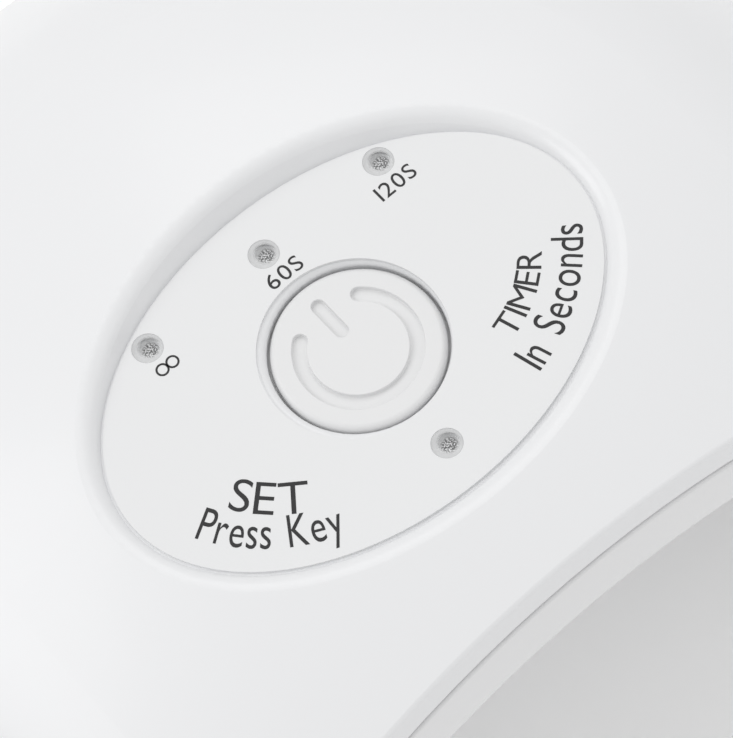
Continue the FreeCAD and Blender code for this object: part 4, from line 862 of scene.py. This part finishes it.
@dataclass
class LabelPrint:
    """The thin black marks of the label."""

    thick: float = 0.02 * MM
    lift: float = 0.002 * MM
    cap_share: float = 0.73
    smooth_steps: int = 8
    ring_steps: int = 48
    straight: float = 1e-10
    gap_share: float = 0.16
    space_share: float = 0.45
    hold_radius: float = 0.80
    hold_line: float = 0.24
    hold_aside: float = 0.72
    hold_spot: Spot = (-16.7, 12.6)
    marks: tuple[Mark, ...] = (
        Mark("60S", 2.05, (-2.1, 11.5), (0.2, 11.5), (2.5, 11.5), 0.0),
        Mark("120S", 2.05, (14.1, 11.5), (16.7, 11.5), (19.3, 11.5), 0.0),
        Mark("TIMER", 3.0, (13.6, -11.2), (18.6, -9.2), (23.0, -5.4), -0.004),
        Mark("In Seconds", 3.9, (13.2, -16.3), (21.6, -12.6), (28.6, -5.9), -0.002),
        Mark("SET", 4.1, (-22.8, -5.3), (-19.9, -8.9), (-16.4, -11.7), -0.004),
        Mark("Press Key", 4.1, (-27.6, -5.5), (-22.2, -12.2), (-15.0, -16.4), -0.002),
    )

    def glyph(self, letter: str, cap: float, weight: float) -> bpy.types.Mesh:
        """Make the flat mesh of one letter.

        Args:
            letter: The letter.
            cap: Height of a capital, in millimetres.
            weight: How much heavier its strokes are, as a share of its size.

        Returns:
            A mesh in metres with its foot at zero height.
        """
        size = cap * MM / self.cap_share
        curve = bpy.data.curves.new("glyph", "FONT")
        curve.body = letter
        curve.size = size
        curve.offset = weight * size
        curve.extrude = self.thick / 2
        curve.resolution_u = self.smooth_steps
        item = bpy.data.objects.new("glyph", curve)
        bpy.context.scene.collection.objects.link(item)
        bpy.context.view_layer.update()
        shape = item.evaluated_get(bpy.context.evaluated_depsgraph_get())
        mesh = bpy.data.meshes.new_from_object(shape)
        bpy.data.objects.remove(item)
        bpy.data.curves.remove(curve)
        return mesh

    def arc(self, mark: Mark) -> tuple[Vector, float, float, float]:
        """Find the circle through a mark's three places.

        Args:
            mark: The mark.

        Returns:
            Its centre and radius, and the angles of its first and last places. The radius is
            zero where the three places lie on a straight line.
        """
        start, middle, end = (Vector((*spot, 0.0)) * MM for spot in
                              (mark.start, mark.middle, mark.end))
        first, second = middle - start, end - start
        cross = 2 * (first.x * second.y - first.y * second.x)
        if abs(cross) < self.straight:
            return Vector(), 0.0, 0.0, 0.0
        centre = start + Vector((
            (second.y * first.length_squared - first.y * second.length_squared) / cross,
            (first.x * second.length_squared - second.x * first.length_squared) / cross, 0.0))
        ends = [math.atan2(spot.y - centre.y, spot.x - centre.x) for spot in (start, end)]
        if ends[1] - ends[0] > math.pi:
            ends[1] -= 2 * math.pi
        if ends[0] - ends[1] > math.pi:
            ends[1] += 2 * math.pi
        return centre, (start - centre).length, ends[0], ends[1]

    def add_mark(self, form: bmesh.types.BMesh, mark: Mark) -> None:
        """Set a mark's letters side by side so that they fill its arc.

        Args:
            form: The print.
            mark: The mark.
        """
        glyphs, widths = [], []
        for letter in mark.text:
            if letter == " ":
                glyphs.append(None)
                widths.append(self.space_share * mark.cap * MM)
                continue
            mesh = self.glyph(letter, mark.cap, mark.weight)
            across = [vertex.co.x for vertex in mesh.vertices]
            glyphs.append((mesh, min(across)))
            widths.append(max(across) - min(across))
        centre, radius, first, last = self.arc(mark)
        start = Vector((*mark.start, 0.0)) * MM
        along = Vector((*mark.end, 0.0)) * MM - start
        length = abs(last - first) * radius if radius else along.length
        gap = self.gap_share * mark.cap * MM
        whole = sum(widths) + gap * (len(widths) - 1)
        squeeze = length / whole
        done = 0.0
        for glyph, width in zip(glyphs, widths):
            middle = (done + width / 2) * squeeze
            if glyph:
                mesh, left = glyph
                share = middle / length
                if radius:
                    turn = first + (last - first) * share
                    spot = centre + Vector((math.cos(turn), math.sin(turn), 0)) * radius
                    lean = turn + math.copysign(math.pi / 2, last - first)
                else:
                    spot, lean = start + along * share, math.atan2(along.y, along.x)
                self.set_glyph(form, mesh, left + width / 2, squeeze, spot, lean)
            done += width + gap

    def set_glyph(self, form: bmesh.types.BMesh, mesh: bpy.types.Mesh, middle: float,
                  squeeze: float, spot: Vector, lean: float) -> None:
        """Add one letter to the print.

        Args:
            form: The print.
            mesh: The letter.
            middle: Middle of the letter across, in its own mesh.
            squeeze: How far the letter is stretched across.
            spot: Where its foot goes, from the label's middle.
            lean: Angle of its foot line.
        """
        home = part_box("control_label")
        centre = (home[0] + home[1]) / 2
        lift = Vector((centre.x, centre.y, home[1].z + self.thick / 2 + self.lift))
        fit = (Matrix.Translation(lift + spot) @ Matrix.Rotation(lean, 4, "Z")
               @ Matrix.Diagonal((squeeze, 1.0, 1.0, 1.0)) @ Matrix.Translation((-middle, 0, 0)))
        mesh.transform(fit)
        form.from_mesh(mesh)
        bpy.data.meshes.remove(mesh)

    def add_hold(self, form: bmesh.types.BMesh) -> None:
        """Add the mark for no time limit: two rings side by side.

        Args:
            form: The print.
        """
        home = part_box("control_label")
        centre = (home[0] + home[1]) / 2
        for hand in (-1, 1):
            spot = Vector((centre.x + (self.hold_spot[0] + hand * self.hold_aside) * MM,
                           centre.y + self.hold_spot[1] * MM, home[1].z + self.lift))
            outer, inner = self.hold_radius * MM, (self.hold_radius - self.hold_line) * MM
            spin_outline(form, [(outer, 0.0), (outer, self.thick), (inner, self.thick),
                                (inner, 0.0)], spot, self.ring_steps, joined=True)

    def build(self) -> None:
        """Print every mark on the label."""
        form = bmesh.new()
        for mark in self.marks:
            self.add_mark(form, mark)
        self.add_hold(form)
        add_piece("label_print", form, INK_BLACK, "root")
        log.info("label print built")


# ---------------------------------------------------------------- beads


@dataclass
class BeadDies:
    """The two chips inside each bead, under its clear lens."""

    side: float = 0.75 * MM
    tall: float = 0.15 * MM
    apart: float = 1.15 * MM
    merge: float = 0.001 * MM

    def islands(self, node: str) -> list[Vector]:
        """Find the separate solids of a node.

        Args:
            node: The CAD node.

        Returns:
            The middle of each solid.
        """
        form = bmesh.new()
        form.from_mesh(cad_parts[node].data)
        bmesh.ops.remove_doubles(form, verts=form.verts, dist=self.merge)
        form.verts.index_update()
        seen: set[int] = set()
        middles = []
        for vert in form.verts:
            if vert.index in seen:
                continue
            stack, found = [vert], []
            seen.add(vert.index)
            while stack:
                here = stack.pop()
                found.append(here.co.copy())
                for edge in here.link_edges:
                    other = edge.other_vert(here)
                    if other.index not in seen:
                        seen.add(other.index)
                        stack.append(other)
            low = Vector([min(spot[axis] for spot in found) for axis in range(3)])
            high = Vector([max(spot[axis] for spot in found) for axis in range(3)])
            middles.append((low + high) / 2)
        form.free()
        return middles

    def build(self) -> None:
        """Set two chips on the floor of every bead's well."""
        bases = self.islands("uv_bead_bases")
        lenses = self.islands("uv_bead_lenses")
        form = bmesh.new()
        for base in bases:
            lens = min(lenses, key=lambda spot: (spot - base).length)
            out = (lens - base).normalized()
            turn = out.to_track_quat("Z", "Y").to_matrix().to_4x4()
            for hand in (-1, 1):
                chip = bmesh.ops.create_cube(form, size=1.0)["verts"]
                fit = (Matrix.Translation(base + out * self.tall / 2) @ turn
                       @ Matrix.Translation((hand * self.apart / 2, 0, 0))
                       @ Matrix.Diagonal((self.side, self.side, self.tall, 1.0)))
                bmesh.ops.transform(form, matrix=fit, verts=chip)
        add_piece("uv_bead_dies", form, DIE_GOLD, "root")
        log.info("%d beads dressed", len(bases))


def dress_all() -> None:
    """Give every carried-over node its finish."""
    for node, finish in CARRIED_OVER.items():
        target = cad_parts[node]
        target.data.materials.clear()
        target.data.materials.append(finish.build())
    log.info("%d nodes dressed", len(CARRIED_OVER))


# ---------------------------------------------------------------- stage


@dataclass(frozen=True)
class SoftLight:
    """A square light that faces the lamp, with its side in metres and its power in watts."""

    name: str
    place: tuple[float, float, float]
    side: float
    power: float

    def build(self) -> None:
        """Hang the light."""
        data = bpy.data.lights.new(self.name, "AREA")
        data.shape = "SQUARE"
        data.size = self.side
        data.energy = self.power
        light = bpy.data.objects.new(self.name, data)
        light.location = self.place
        light.rotation_euler = (-Vector(self.place)).to_track_quat("-Z", "Y").to_euler()
        bpy.context.scene.collection.objects.link(light)


@dataclass
class Studio:
    """Floor, lights and camera."""

    floor_side: float = 3.0
    floor_parts: int = 8
    floor_paint: Finish = Finish("floor_pale", (0.86, 0.86, 0.86), (0.84, 0.84, 0.84), 0.6,
                                 grain_scale=300, glow=0.15)
    lights: tuple[SoftLight, ...] = (
        SoftLight("key", (0.42, 0.60, 1.05), 0.8, 2.4),
        SoftLight("side", (-0.75, 0.50, 0.95), 0.8, 4.2),
        SoftLight("front", (0.70, -0.75, 0.80), 0.9, 1.5),
    )
    room_light: float = 0.675
    near_clip: float = 0.01
    azimuth: float = -27.3
    elevation: float = 64.8
    roll: float = -14.4
    distance: float = 0.45
    view_height: float = 81.6 * MM
    sensor: float = 36.0
    aim_right: float = -0.70 * MM
    aim_back: float = -2.95 * MM

    def build_floor(self) -> None:
        """Lay a plain pale floor."""
        mesh = bpy.data.meshes.new("floor")
        form = bmesh.new()
        bmesh.ops.create_grid(form, x_segments=self.floor_parts, y_segments=self.floor_parts,
                              size=self.floor_side / 2)
        form.to_mesh(mesh)
        form.free()
        floor = bpy.data.objects.new("floor", mesh)
        bpy.context.scene.collection.objects.link(floor)
        mesh.materials.append(self.floor_paint.build())

    def build_camera(self) -> None:
        """Set the camera at the viewing angle, aimed a little in front of the label."""
        turn, rise = math.radians(self.azimuth), math.radians(self.elevation)
        back = Vector((math.sin(turn) * math.cos(rise), -math.cos(turn) * math.cos(rise),
                       math.sin(rise)))
        middle = spot_of("control_label")
        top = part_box("control_label")[1].z
        aim = Vector((middle.x + self.aim_right, middle.y + self.aim_back, top))
        data = bpy.data.cameras.new("view")
        data.sensor_width = self.sensor
        data.lens = self.sensor * self.distance / self.view_height
        data.clip_start = self.near_clip
        camera = bpy.data.objects.new("view", data)
        level = back.to_track_quat("Z", "Y")
        camera.matrix_world = (Matrix.Translation(aim + back * self.distance)
                               @ level.to_matrix().to_4x4()
                               @ Matrix.Rotation(math.radians(self.roll), 4, "Z"))
        bpy.context.scene.collection.objects.link(camera)
        bpy.context.scene.camera = camera

    def build_lights(self) -> None:
        """Hang the soft lights, and lift the whole room with a pale world."""
        for light in self.lights:
            light.build()
        world = bpy.data.worlds.new("room")
        world.use_nodes = True
        ground = world.node_tree.nodes["Background"]
        ground.inputs["Color"].default_value = (1.0, 1.0, 1.0, 1.0)
        ground.inputs["Strength"].default_value = self.room_light
        bpy.context.scene.world = world
        bpy.context.scene.view_settings.view_transform = "Standard"

    def build(self) -> None:
        """Build the whole stage."""
        self.build_floor()
        self.build_camera()
        self.build_lights()
        log.info("stage built")


def main() -> None:
    """Build every sub-assembly, then the stage."""
    logging.basicConfig(level=logging.INFO)
    dress_all()
    PowerButton().build()
    IndicatorLamps().build()
    LabelPrint().build()
    BeadDies().build()
    Studio().build()


if __name__ == "__main__":
    main()
